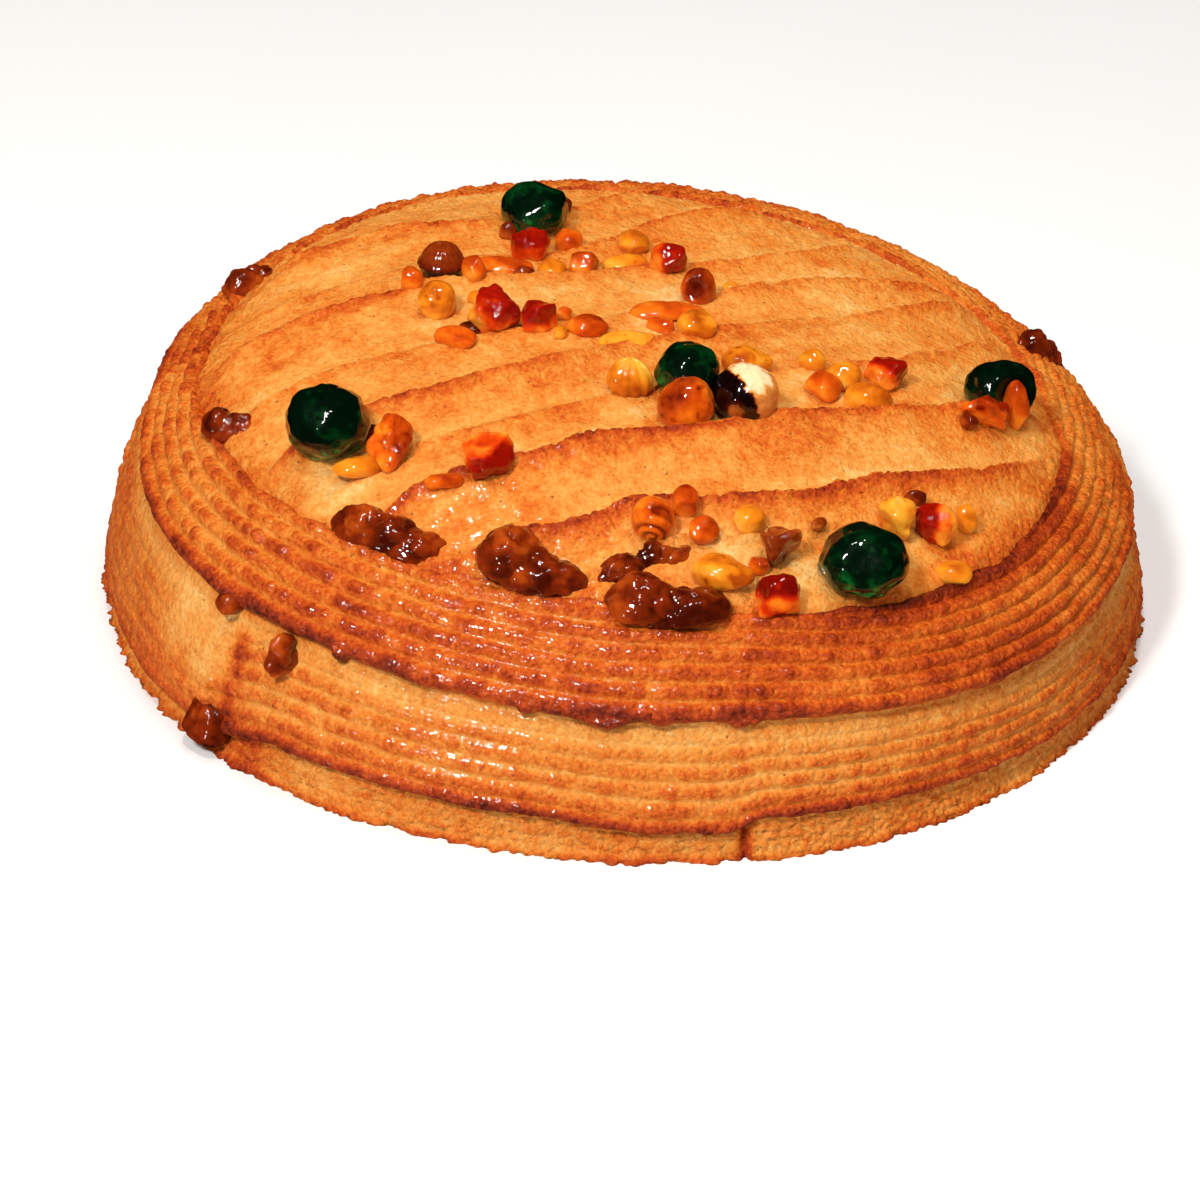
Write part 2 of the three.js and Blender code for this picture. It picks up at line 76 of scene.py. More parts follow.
STRIP_TURN_DEG = 30
STRIP_STEP = 2.6
STRIP_FALL = 1.8
STRIP_END = 12
STRIP_STATIONS = np.array([-100, -50, 0, 50, 100], float)
STRIP_EDGES = [
    ([-86, -92, -100, -106, -112], [1.0, 3.0, 2.0, 0.0, 0.0]),
    ([-68, -79, -89, -88, -73], [3.0, 4.0, 3.0, 3.0, 3.0]),
    ([-48, -54, -61, -64, -63], [4.0, 4.5, 4.5, 4.0, 3.5]),
    ([-32, -35, -38, -40, -29], [1.0, 1.0, 1.0, 2.0, 3.0]),
    ([-13, -16, -16, -15, -11], [3.5, 3.5, 3.0, 1.5, 3.5]),
    ([12, 6, 2, 4, 0], [2.0, 1.0, 1.0, 3.5, 3.0]),
    ([41, 36, 26, 20, 28], [4.0, 4.0, 2.5, 2.5, 2.5]),
    ([60, 52, 42, 51, 52], [1.5, 1.0, 2.0, 4.0, 3.0]),
    ([84, 78, 64, 74, 70], [3.5, 3.5, 3.0, 3.0, 2.0]),
    ([108, 108, 108, 108, 108], [0.0, 0.0, 0.0, 0.0, 0.0]),
]

# From, to, width, height above the crust.
TOP_LUMPS = [
    ((-67, -91.5), (-49, -100.5), 9, 5),
    ((-30, -106), (-17, -111), 12, 7),
    ((3, -115), (20, -116), 11, 6),
    ((-107, -42), (-101, -45), 8, 4),
    ((-110, 36), (-105, 40), 8, 3),
    ((109, 38), (117, 46), 7, 3),
]

# Too low for the part's solids.
LOW_RIDGES = [
    ((-3, -108), (5, -104), 5, 2.5),
    ((5, -103.5), (15, -100.5), 4, 2),
]

# Bearing, height of the middle, size across, out and up.
SIDE_LUMPS = [
    (-137, 38, (6, 7, 5.5)),
    (-127.7, 33, (6, 8, 10)),
    (-137, 7, (11, 10, 11.5)),
]

SINK = 2               # how far a topping reaches into the crust

# Place, size and turn, as in the part, and for fruit and nuts the palette. A nut has the kind of its
# shape as well. A way is the side on which a topping is darker, and the number after it says by how much.
CHERRIES = {
    "cherry_front": ((59, -97.5), (23, 22, 18), 20),
    "cherry_left": ((-77, -66), (22, 21, 19), 70),
    "cherry_back": ((-30, 52), (20, 19, 14), 140),
    "cherry_right": ((97.5, -12.5), (19, 19, 16.5), 200),
    "cherry_centre": ((14, -39), (17, 17, 16), 260),
}

NUTS = {
    "hazelnut_amber": ((13.5, -53), (15, 14, 14.5), 15, "amber", "round", (-0.6, 0.3, 0.8), 0.25),
    "hazelnut_burnt": ((29, -47), (17.5, 17, 16.5), 40, "burnt", "round"),
    "hazelnut_pale": ((-1, -40.5), (12.5, 12, 11.5), 80, "gold", "egg"),
    "hazelnut_far": ((29.5, -23), (13, 12, 9), 10, "gold", "egg", (-0.7, 0, 0.3), 0.35),
    "hazelnut_brown": ((-53.5, 18), (12, 11.5, 12.5), 0, "brown", "round"),
    "hazelnut_golden": ((-53, -5), (11.5, 11, 11.5), 50, "gold", "egg", (0, 0.5, 1), 0.25),
    "hazelnut_shell": ((16, 14), (10, 9.5, 11.5), 60, "amber", "round"),
    "hazelnut_curled": ((6.5, -97), (11, 11, 11.5), 30, "amber", "round"),
    "hazelnut_front": ((38, -97.5), (11.5, 11, 12.5), 25, "brown", "shard", (-0.4, 0, -0.6), 0.15),
    "almond_front": ((24.5, -107), (16, 11, 9), -15, "gold", "egg", (0.7, 0.4, 0.6), 0.4),
    "almond_long": ((-1.5, -16), (17, 10, 6.5), 12, "gold", "egg", (0.2, 0.6, -0.6), 0.2),
    "almond_right": ((68, -79.5), (10, 11, 12), 35, "gold", "chunk", (0.3, 0.6, 0.2), 0.25),
    "praline_left": ((-59.5, -72), (12.5, 12, 11.5), 35, "orange", "shard", (0.9, 0, 0.3), 0.5),
    "praline_right": ((93, -26), (12, 11, 10.5), 30, "orange", "shard", (0.5, 0.3, 0.8), 0.45),
}

FRUIT = {
    "candied_front": ((38, -110), (10, 9, 11), 5, "red", (0, 0.4, 1)),
    "candied_right": ((78, -75.5), (10, 9, 10), -20, "ember", (-0.8, 0, 0)),
    "candied_left": ((-36, -81.5), (12, 10.5, 10.5), 15, "ember", (0.5, -0.6, -0.75)),
    "candied_orange": ((-38, -10), (13, 11, 12.5), 25, "ember", (0.4, 0.2, 0.9)),
    "candied_dark": ((-26, -11), (9, 8, 9.5), 10, "ember", (0.3, 0, 1)),
    "candied_back": ((-30, 33), (10, 9, 8.5), 0, "ember", (0, 0.4, 0.8)),
    "candied_small": ((7.5, 30.5), (9.5, 8, 8), -10, "ember", (0.9, -0.2, 0.4)),
    "candied_far": ((67, -17.5), (10, 9, 9), -30, "ember", (0.5, 0.3, 0.5)),
}

# Place, size, turn and palette of each chopped nut baked into the crust. The first 24 are the part's,
# a few of them moved or resized to touch a neighbour. The others are too small for its solids.
CHOPPED = [
    ((-13, -10), (11.5, 8, 6), 10, "orange"),
    ((-44.5, 13), (7, 8, 8), 20, "orange"),
    ((-37, 23.5), (17, 9, 5), -10, "orange"),
    ((-20, 41), (8, 8, 8), 60, "orange"),
    ((-24, 22.5), (8, 8, 7), 0, "gold"),
    ((-15.5, 26), (10.5, 9, 8), 40, "orange"),
    ((-2, 42.5), (9, 8, 7), 10, "gold"),
    ((-4, 31.5), (13, 9, 5), 20, "gold"),
    ((8, 3), (20, 9, 5), 5, "orange"),
    ((16, -8), (11, 10, 8), 30, "gold"),
    ((46.5, -18), (7, 7, 7), 0, "gold"),
    ((55, -24.5), (9, 9, 9), 80, "gold"),
    ((49.5, -30.5), (10, 9, 9), 15, "orange"),
    ((61.5, -32), (14, 9, 9), -10, "gold"),
    ((101.5, -19), (7, 7, 18), 20, "orange"),
    ((86.5, -68), (6, 7, 8), 40, "gold"),
    ((83, -85), (9, 8, 7), 0, "gold"),
    ((14, -90), (8, 8, 8), 10, "orange"),
    ((19, -96.5), (9, 8, 7), 60, "orange"),
    ((30.5, -90), (9, 8, 7), 30, "gold"),
    ((-67, -75.5), (15, 7, 6), 22, "gold"),
    ((-46, -86), (10, 6, 4.5), 10, "orange"),
    ((-47.5, -21.5), (11, 8, 6), -15, "orange"),
    ((-61, 7), (7, 7, 7), 25, "orange"),
    ((-19.5, -3), (5, 4, 5), 30, "orange"),
    ((-20, -14), (6, 4, 4), 70, "gold"),
    ((-31, 18), (6, 5, 6), 15, "brown"),
    ((-43, 2), (5, 5, 4), 50, "gold"),
    ((-44, -14), (6, 5, 4), 20, "brown"),
    ((6.5, -5), (9, 6, 5), -20, "orange"),
    ((25, 23), (5, 4, 4), 10, "gold"),
    ((-36.5, 44), (6, 5, 6), 30, "brown"),
    ((-23, 62), (6, 5, 6), 0, "brown"),
    ((52, -92), (5, 4, 4), 35, "orange"),
    ((48, -87), (5, 3.5, 3.5), 60, "brown"),
    ((73, -68), (6, 4, 5), 5, "brown"),
    ((33, -102), (6, 5, 5), 40, "orange"),
    ((62, -84), (6, 5, 5), 75, "orange"),
    ((88, -30), (6, 5, 5), 15, "brown"),
    ((-66, -63), (5, 4, 4), 45, "brown"),
    ((21, -40), (5, 4, 4), 25, "gold"),
]

# Middle and reach of each pool of syrup on the top.
POOLS = [
    (-74, -78, 11),
    (-62, -66, 8),
    (-31, -75, 8),
    (-50, -16, 9),
    (-56, 8, 8),
    (-38, 2, 11),
    (-28, 20, 11),
    (-8, 22, 9),
    (10, 14, 10),
    (4, -6, 9),
    (-2, -50, 8),
    (24, -57, 9),
    (39, -44, 8),
    (46, -26, 9),
    (62, -26, 7),
    (88, -18, 9),
    (28, -99, 8),
    (48, -104, 8),
    (72, -86, 9),
]

# ---- sizes of the fine surface

RIB_PITCH = 4.6        # of the upper ribbon
MIDDLE_RIBS = 6.2      # up the middle ribbon
BASE_PITCH = 2.4
UPPER_RELIEF = 1.9     # from a valley to the crest of a rib
MIDDLE_RELIEF = 1.5
BASE_RELIEF = 1.6
BEAD = 2.3             # length of one bead of a torn rib
TUCK = 5               # how far a ribbon runs in under the one above
RIBBON_DEPTH = 5       # of a ribbon's inside below the plain form
EDGE_DEPTH = 3         # how far a ribbon's rounded edges turn in
STEP_DEG = -76.2       # where the base ribbon's two lengths meet

CORE_DEPTH = 4         # of the core below the plain form
CORE_ROOF = 50         # height at which the core is closed
CAP_OVERLAP = 3.5      # how far the smooth top runs out over the upper ribbon
CAP_SKIRT = 6          # height of the wall below its edge
CAP_FLOOR = 54         # height at which it is closed

COLUMNS = 1400         # round the side
CORE_COLUMNS = 200
RIBBON_ROWS = 64
BASE_ROWS = 34
CORE_ROWS = 26
CAP_CELLS = 304        # along each side of the smooth top's grid
UV_BANDS = 5           # stretches that a ribbon's map is folded into

TINT_PATCH = 4.5       # of a topping's lighter and darker places
LUMP_BURY = 4          # depth of a caramelised end's foot in the smooth top
RIBBON_BURY = 1.5      # the same on the upper ribbon

# ---- small helpers


def smooth(value):
    t = np.clip(value, 0, 1)
    return t * t * (3 - 2 * t)


def blend(a, b, share):
    return a + (b - a) * share


def hump(value, middle, half_width):
    """1 at the middle, falling off like a bell."""
    return np.exp(-(((value - middle) / half_width) ** 2))


def window(value, low, high, soft):
    """1 between two values, with soft ends."""
    return smooth((value - low) / soft + 0.5) * smooth((high - value) / soft + 0.5)


def lattice(ix, iy, iz, seed):
    """Fixed pseudo-random numbers from -1 to 1 at whole-number places."""
    h = ix.astype(np.uint32) * np.uint32(374761393)
    h = h + iy.astype(np.uint32) * np.uint32(668265263)
    h = h + iz.astype(np.uint32) * np.uint32(2147483647)
    h = h + np.uint32(seed * 974711 % 4294967291)
    h = (h ^ (h >> np.uint32(13))) * np.uint32(1274126177)
    h = (h ^ (h >> np.uint32(16))) * np.uint32(2246822519)
    h = h ^ (h >> np.uint32(15))
    return h.astype(float) / 2147483647.5 - 1


def noise(x, y, z, seed):
    """Smooth noise from -1 to 1 with features one unit across."""
    places = np.broadcast_arrays(*(np.asarray(v, float) for v in (x, y, z)))
    cells = [np.floor(v).astype(np.int64) for v in places]
    shares = [smooth(v - cell) for v, cell in zip(places, cells)]
    total = 0.0
    for steps in np.ndindex(2, 2, 2):
        weight = math.prod(share if step else 1 - share for share, step in zip(shares, steps))
        total = total + weight * lattice(*(cell + step for cell, step in zip(cells, steps)), seed)
    return total


def beads(u, v, seed, size=0.62):
    """Domes from 0 to 1 high, one to a cell of a loose square lattice."""
    u, v = np.broadcast_arrays(np.asarray(u, float), np.asarray(v, float))
    cell_u, cell_v = np.floor(u).astype(np.int64), np.floor(v).astype(np.int64)
    zero = np.zeros_like(cell_u)
    best = np.zeros(u.shape)
    for step_u, step_v in np.ndindex(3, 3):
        cu, cv = cell_u + step_u - 1, cell_v + step_v - 1
        at_u = cu + 0.5 + 0.3 * lattice(cu, cv, zero, seed)
        at_v = cv + 0.5 + 0.3 * lattice(cu, cv, zero + 1, seed)
        reach = size * (1 + 0.35 * lattice(cu, cv, zero + 2, seed))
        dome = 1 - ((u - at_u) ** 2 + (v - at_v) ** 2) / reach**2
        best = np.maximum(best, np.sqrt(np.maximum(dome, 0)) * reach / size)
    return best


def knobs(points, length, seed):
    """Domes from 0 to 1 high all over a rounded body, from loose cells of a length in mm."""
    scaled = points / length
    cells = np.floor(scaled).astype(np.int64)
    best = np.zeros(len(points))
    for step in np.ndindex(3, 3, 3):
        cell = cells + step - 1
        shift = [lattice(*cell.T, seed + k) for k in range(3)]
        away = ((scaled - cell - 0.5 - 0.35 * np.stack(shift, 1)) ** 2).sum(axis=1)
        best = np.maximum(best, np.sqrt(np.maximum(1 - away / 0.5, 0)))
    return best


def along_strip(values, along):
    """Values given at the strips' stations, eased from one to the next."""
    clamped = np.clip(along, STRIP_STATIONS[0], STRIP_STATIONS[-1])
    following = np.clip(np.searchsorted(STRIP_STATIONS, clamped), 1, len(STRIP_STATIONS) - 1)
    start = STRIP_STATIONS[following - 1]
    share = (clamped - start) / (STRIP_STATIONS[following] - start)
    values = np.array(values, float)
    return blend(values[following - 1], values[following], smooth(share))


# ---- the rounded outer form


def side_power(bearing):
    return SIDE_POWER + BACK_POWER * smooth(np.sin(np.radians(bearing)))


def form_radius(z, bearing):
    return RADIUS * (1 - (z / HEIGHT) ** TOP_POWER) ** (1 / side_power(bearing))


def form_height(radius, bearing):
    share = np.minimum(radius / RADIUS, 0.999)
    return HEIGHT * (1 - share ** side_power(bearing)) ** (1 / TOP_POWER)


def lean(x, y, z):
    return z * (1 + (LEAN_X * x + LEAN_Y * y) / RADIUS)


def turn_share(bearing):
    return ((bearing - SEAM_DEG) / 360) % 1


def out_of_round(bearing):
    return OUT_OF_ROUND * (
        np.sin(np.radians(2 * bearing + 40)) + 0.6 * np.sin(np.radians(5 * bearing + 10))
    )


def round_noise(bearing, length, seed):
    """Noise round the cake with features of a length in mm, without a seam."""
    x = RADIUS * np.cos(np.radians(bearing)) / length
    y = RADIUS * np.sin(np.radians(bearing)) / length
    return noise(x, y, 0.5, seed)


def cap_radius(bearing):
    mean = CAP_RADIUS + CAP_SHIFT * np.cos(np.radians(bearing + 95))
    return mean + CAP_OVAL * np.cos(np.radians(2 * bearing + 30))


def cap_edge(bearing):
    """The smooth top's edge with its small unevenness."""
    return cap_radius(bearing) + 1.2 * round_noise(bearing, 14, 3) + 0.6 * round_noise(bearing, 5, 4)


def lap_height(lap, bearing):
    start, climbs = lap
    share = turn_share(bearing)
    return start + sum(height * smooth((share - at) / run) for at, run, height in climbs)


class SideCurves:
    """The form's side at each column, measured by the distance up its surface."""

    samples = 500
    top_share = 0.985    # of the height, where the side is taken to end
    nearby = 0.4         # distance over which its slope is measured

    def __init__(self, columns):
        self.bearings = -180 + 360 * np.arange(columns) / columns
        self.z = np.linspace(0, HEIGHT * self.top_share, self.samples)
        self.r = form_radius(self.z[:, None], self.bearings[None, :])
        rise = np.hypot(np.diff(self.r, axis=0), np.diff(self.z)[:, None])
        self.length = np.vstack([np.zeros(columns), np.cumsum(rise, axis=0)])
        self.run = np.radians(self.bearings) * RADIUS
        self.middle_lap = self.length_at(lap_height(MIDDLE_LAP, self.bearings))
        self.upper_lap = self.length_at(lap_height(UPPER_LAP, self.bearings))

    def length_at(self, z):
        return np.array([np.interp(z[i], self.z, self.length[:, i]) for i in range(len(z))])

    def place(self, length, out):
        """Points at distances up the side, moved out square to it: arrays of rows by columns."""
        r = np.empty_like(length)
        z = np.empty_like(length)
        for i in range(length.shape[1]):
            known = self.length[:, i]
            here = length[:, i]
            back, on = here - self.nearby, here + self.nearby
            r[:, i] = np.interp(here, known, self.r[:, i])
            z[:, i] = np.interp(here, known, self.z)
            rise = np.interp(on, known, self.z) - np.interp(back, known, self.z)
            fall = np.interp(back, known, self.r[:, i]) - np.interp(on, known, self.r[:, i])
            size = np.maximum(np.hypot(rise, fall), 1e-6)
            r[:, i] += out[:, i] * rise / size
            z[:, i] += out[:, i] * fall / size
        r = r + out_of_round(self.bearings)[None, :]
        x = r * np.cos(np.radians(self.bearings))
        y = r * np.sin(np.radians(self.bearings))
        return np.stack([x, y, lean(x, y, np.maximum(z, 0))], axis=-1)


# ---- the smooth top's relief

STRIP_COS = math.cos(math.radians(STRIP_TURN_DEG))
STRIP_SIN = math.sin(math.radians(STRIP_TURN_DEG))


def strips_at(x, y, uneven=True):
    """Relief of the strips, how near a place is before a raised edge and how near behind one."""
    along = x * STRIP_COS + y * STRIP_SIN
    across = y * STRIP_COS - x * STRIP_SIN
    edges = []
    heights = []
    for i, (places, raised) in enumerate(STRIP_EDGES):
        wander = 1.0 * noise(along / 11, 31.7 * i, 0, 11) + 0.3 * noise(along / 3.3, 17.3 * i, 0, 12)
        swing = 0.2 * noise(along / 9, 23.1 * i, 0, 13)
        edges.append(along_strip(places, along) + (wander if uneven else 0))
        heights.append(along_strip(raised, along) * (1 + swing if uneven else 1))
    edges = np.array(edges)
    heights = np.array(heights)
    far = np.sum(edges < across, axis=0)
    inside = (far > 0) & (far < len(STRIP_EDGES))
    back = np.clip(far, 1, len(STRIP_EDGES) - 1)[None]
    back_across = np.take_along_axis(edges, back, 0)[0]
    back_height = np.take_along_axis(heights, back, 0)[0]
    front_across = np.take_along_axis(edges, back - 1, 0)[0]
    front_height = np.take_along_axis(heights, back - 1, 0)[0]
    before = back_across - across
    behind = across - front_across
    share = np.clip(before / np.maximum(back_across - front_across, 1e-6), 0, 1)
    fall = back_height * (1 - share) ** STRIP_FALL
    step = front_height * smooth(1 - behind / STRIP_STEP)
    relief = np.where(inside, np.maximum(fall, step), 0)
    towards_front = 0.55 + 0.45 * smooth((-y - 10) / 70)
    strength = np.clip(back_height / 3.0, 0, 1.2) * towards_front
    crest = np.where(inside, strength * (0.6 * np.exp(-before / 4.5) + 0.3 * np.exp(-before / 1.8)), 0)
    edge_strength = np.clip(front_height / 4.3, 0, 0.7) * towards_front
    edge = np.where(inside & (fall < step), 1 - smooth(behind / 1.2), 0) * edge_strength
    lee = np.where(inside, np.clip(front_height / 3, 0, 1) * np.exp(-np.maximum(behind - 1.5, 0) / 4), 0)
    return relief, np.maximum(crest, edge), lee


def top_height(x, y):
    """Height of the smooth top as the part has it."""
    x = np.asarray(x, float)
    y = np.asarray(y, float)
    radius = np.hypot(x, y)
    bearing = np.degrees(np.arctan2(y, x))
    fade = smooth((cap_radius(bearing) - radius) / STRIP_END)
    relief = strips_at(x, y, uneven=False)[0]
    return lean(x, y, form_height(radius, bearing)) - CAP_SINK + fade * relief


# ---- meshes


def add_piece(name, points, quads, material, nodes, fields, corner_uv=None):
    """A smooth piece from points in mm, with a number at each point for each named field."""
    mesh = bpy.data.meshes.new(name)
    mesh.vertices.add(len(points))
    mesh.vertices.foreach_set("co", (points / 1000).astype(np.float32).ravel())
    mesh.loops.add(quads.size)
    mesh.loops.foreach_set("vertex_index", quads.astype(np.int32).ravel())
    mesh.polygons.add(len(quads))
    mesh.polygons.foreach_set("loop_start", np.arange(0, quads.size, 4).astype(np.int32))
    for key, values in fields.items():
        layer = mesh.attributes.new(key, "FLOAT", "POINT")
        layer.data.foreach_set("value", values.astype(np.float32).ravel())
    if corner_uv is not None:
        layer = mesh.uv_layers.new(name="OFBake")
        layer.data.foreach_set("uv", corner_uv.astype(np.float32).ravel())
    mesh.update(calc_edges=True)
    mesh.validate()
    mesh.shade_smooth()
    mesh.materials.append(material)
    piece = bpy.data.objects.new(name, mesh)
    bpy.context.scene.collection.objects.link(piece)
    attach(piece, "root")
    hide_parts(*nodes)


def grid_cells(rows, columns):
    """The row and the column of each cell of a grid."""
    row, column = np.meshgrid(np.arange(rows), np.arange(columns), indexing="ij")
    return row.ravel(), column.ravel()


def cell_quads(row, column, next_row, next_column, width):
    """Faces of cells between points that are stored row by row, width to a row."""
    corners = [(row, column), (next_row, column), (next_row, next_column), (row, next_column)]
    return np.stack([i * width + j for i, j in corners], axis=1)


def ring_quads(rows, columns):
    """Faces of a grid that closes on itself both ways, with its corners' places on a folded map."""
    row, column = grid_cells(rows, columns)
    quads = cell_quads(row, column, (row + 1) % rows, (column + 1) % columns, columns)[:, [0, 3, 2, 1]]
    per_band = columns // UV_BANDS
    band = column // per_band
    left = (column - band * per_band) / per_band
    right = left + 1 / per_band
    low = (band + 0.02 + 0.96 * row / rows) / UV_BANDS
    high = (band + 0.02 + 0.96 * (row + 1) / rows) / UV_BANDS
    corners = [(left, low), (right, low), (right, high), (left, high)]
    uv = np.stack([np.stack([0.005 + 0.99 * u, v], axis=1) for u, v in corners], axis=1)
    return quads, uv


# ---- the ribbons round the side


def rolls(phase):
    """Plain rounded ribs, from 0 in a valley to 1. phase counts ribs."""
    return np.clip(1 - (np.abs(phase - np.floor(phase) - 0.5) / 0.47) ** 2.4, 0, 1)


def torn_ribs(phase, run, bead, seed):
    """Ribs torn into beads and dashes, from 0 in a valley to 1. run is mm along them."""
    rib = np.floor(phase)
    uneven = 0.45 * noise(run / 5, rib * 3.3, 0, seed + 2)
    dome = beads(run / bead + 0.37 * rib + uneven, phase, seed, size=0.66)
    dash = smooth(0.5 + 0.95 * noise(run / 4.5, rib * 7.7, 0, seed + 1))
    height = rolls(phase) * (0.4 + 0.6 * dome * (0.45 + 0.55 * dash))
    return height, dash


def ribbon_piece(name, side, up, out, fields, material):
    """A closed ribbon from its outer points, with a plain inside."""
    inner_share = np.array([0.98, 0.75, 0.5, 0.25, 0.02])[:, None]
    inner_up = blend(up[:1], up[-1:], inner_share)
    inner = side.place(inner_up, np.full_like(inner_up, -RIBBON_DEPTH))
    points = np.concatenate([side.place(up, out), inner])
    quads, uv = ring_quads(len(points), points.shape[1])
    pad = np.zeros(inner.shape[:2])
    padded = {key: np.vstack([np.broadcast_to(v, up.shape), pad]) for key, v in fields.items()}
    add_piece(name, points.reshape(-1, 3), quads, material, ["cake"], padded, uv)


def rounded_end(distance, length):
    """How far a ribbon's edge has come out of its rounding, from 0 to 1."""
    return np.sqrt(np.clip(1 - (1 - np.clip(distance / length, 0, 1)) ** 2, 0, 1))


def upper_lap_edge(bearing):
    """The upper ribbon's lower edge, wavy and hanging in drips."""
    wave = 0.6 * round_noise(bearing, 13, 31) + 0.4 * round_noise(bearing, 4.5, 32)
    drips = 2.6 * hump(bearing, -91, 2.2) + 1.4 * hump(bearing, -85.5, 1.4) + 1.6 * hump(bearing, -77, 1.2)
    hang = 1.6 * smooth(3 * round_noise(bearing, 6, 33) - 1.4)
    return wave - drips - hang


def ribbon_end_out(bearing):
    return END_OUT * smooth((turn_share(bearing) - 0.93) / 0.05)


def streaked(height, phase, run, t, front, wetter, seed):
    """Ribs made plain and smooth under the glaze at the front."""
    streaky = smooth(wetter + 1.6 * noise(run / 9, t / 6, 7, seed))
    return blend(height, 0.35 + 0.4 * rolls(phase), front * streaky)


# In the three ribbons below, b is the bearing, run mm along the ribbon, up mm up the side and t mm up
# from its lap. Arrays have a row for each step up and a column for each step round.


def upper_ribbon(side, material):
    b, run, lap = side.bearings, side.run, side.upper_lap
    low = lap + upper_lap_edge(b)
    high = side.length_at(form_height(cap_edge(b), b))
    up = blend(low, high, np.linspace(0, 1, RIBBON_ROWS)[:, None])
    t = up - lap
    wander = 0.1 * round_noise(b, 30, 35) + 0.05 * round_noise(b, 9, 36)
    right = window(b, -68, 75, 34)
    phase = (t - 0.9) / (RIB_PITCH * (1 - 0.13 * right)) + wander
    height, dash = torn_ribs(phase, run, BEAD, 61)
    lip = hump(t, 0.8, 3.2) * (1 - 0.65 * window(b, -58, 60, 40))
    crumbs = beads(run / 2.1, t / 2.0, 62)
    height = blend(height, 0.45 + 0.55 * crumbs, 0.75 * lip)
    front = hump(b, -104, 19) * hump(t, 16, 12)
    height = streaked(height, phase, run, t, 0.8 * front, 1.5, 65)
    to_end = high - up
    rim = smooth(1 - to_end / 3.5)
    height = blend(height, 0.35 + 0.65 * crumbs, 0.7 * rim)
    shape = np.minimum(rounded_end(up - low, 2.4), rounded_end(to_end, 1.6))
    share = np.clip(t / (high - lap), 0, 1)
    out = blend(LAP_OUT + ribbon_end_out(b), RIM_HEIGHT, np.sqrt(share))
    out = out + UPPER_RELIEF * (height - 0.5) + 0.35 * noise(run / 9, t / 7, 3, 63)
    out = blend(-EDGE_DEPTH, out, shape)
    far_side = window(b, 10, 170, 30)
    left = window(b, -185, -140, 18)
    bake = 0.41 + (0.3 - 0.14 * right) * height * (0.6 + 0.4 * dash) + 0.22 * lip + 0.1 * rim
    near_right = window(b, -64, -10, 24)
    bake = bake + near_right * (0.06 + 0.18 * smooth(1 - to_end / 9)) - 0.1 * far_side - 0.05 * left
    bake = bake + 0.03 * right + 0.1 * noise(run / 26, t / 9, 1, 64)
    sparkle = (0.16 + 0.55 * window(b, -175, -70, 30)) * (1 - 0.5 * lip)
    fields = {"bake": bake, "wet": np.clip(sparkle + 0.6 * front, 0, 1), "grain": 0.5 + 0.5 * height}
    ribbon_piece("upper_ribbon", side, up, out, fields, material)


def middle_ribbon(side, material):
    b, run, lap, upper = side.bearings, side.run, side.middle_lap, side.upper_lap
    low = lap + 0.6 * round_noise(b, 9, 41) + 0.3 * round_noise(b, 3.5, 42)
    up = blend(low, upper + TUCK, np.linspace(0, 1, RIBBON_ROWS)[:, None])
    t = up - lap
    under = upper - up
    pitch = np.clip((upper - lap) / MIDDLE_RIBS, 3.7, 5)
    wander = 0.1 * round_noise(b, 30, 45) + 0.04 * round_noise(b, 9, 46)
    phase = t / pitch + wander
    height = torn_ribs(phase, run, 2.0, 51)[0]
    left = window(b, -187, -137, 8)
    shifted = b + 1.6 * noise(run / 8, t / 6, 5, 55)
    patch = window(shifted, -147, -135.3, 6) * window(under + 4 * noise(run / 7, 0, 6, 56), 4, 22, 9)
    faint = (0.55 + 0.45 * smooth((under - 3) / 8)) * (1 - 0.5 * left) * (1 - 0.9 * patch)
    crumbs = beads(run / 1.9, t / 1.8, 52)
    rough = smooth(1 - t / 8) * (1 - 0.6 * left) * (1 - 0.6 * window(b, -58, 60, 40))
    front = hump(b, -106, 17) * hump(under, 11, 7)
    height = blend(0.45, blend(height, 0.3 + 0.7 * crumbs, 0.5 * rough), faint)
    height = streaked(height, phase, run, t, 0.85 * front, 1.3, 58)
    share = np.clip(t / (upper - lap), 0, 1)
    shape = rounded_end(up - low, 2.2)
    out = blend(LAP_OUT, LAP_IN, np.sqrt(share)) + ribbon_end_out(b)
    out = out + MIDDLE_RELIEF * (height - 0.5) + 0.3 * noise(run / 10, t / 7, 3, 53)
    out = blend(-EDGE_DEPTH, out, shape)
    # A narrow band just after the seam is painted darker: painted shadow of the overlapping ribbon end.
    seam = hump(b, -134.2, 1.3) * window(under, 5, 30, 4)
    bake = 0.27 + 0.3 * height * faint + 0.36 * rough - 0.12 * hump(under, 4, 4)
    bake = bake - 0.18 * patch + 0.3 * seam + 0.14 * left
    bake = bake + 0.03 * window(b, -60, 0, 30) + 0.07 * noise(run / 26, t / 12, 1, 54)
    sparkle = 0.06 + 0.45 * window(b, -165, -70, 30) * (1 - 0.6 * hump(under, 3, 4))
    fields = {"bake": bake, "wet": np.clip(sparkle + 0.6 * front, 0, 1), "grain": 0.5 + 0.5 * height * faint}
    ribbon_piece("middle_ribbon", side, up, out, fields, material)


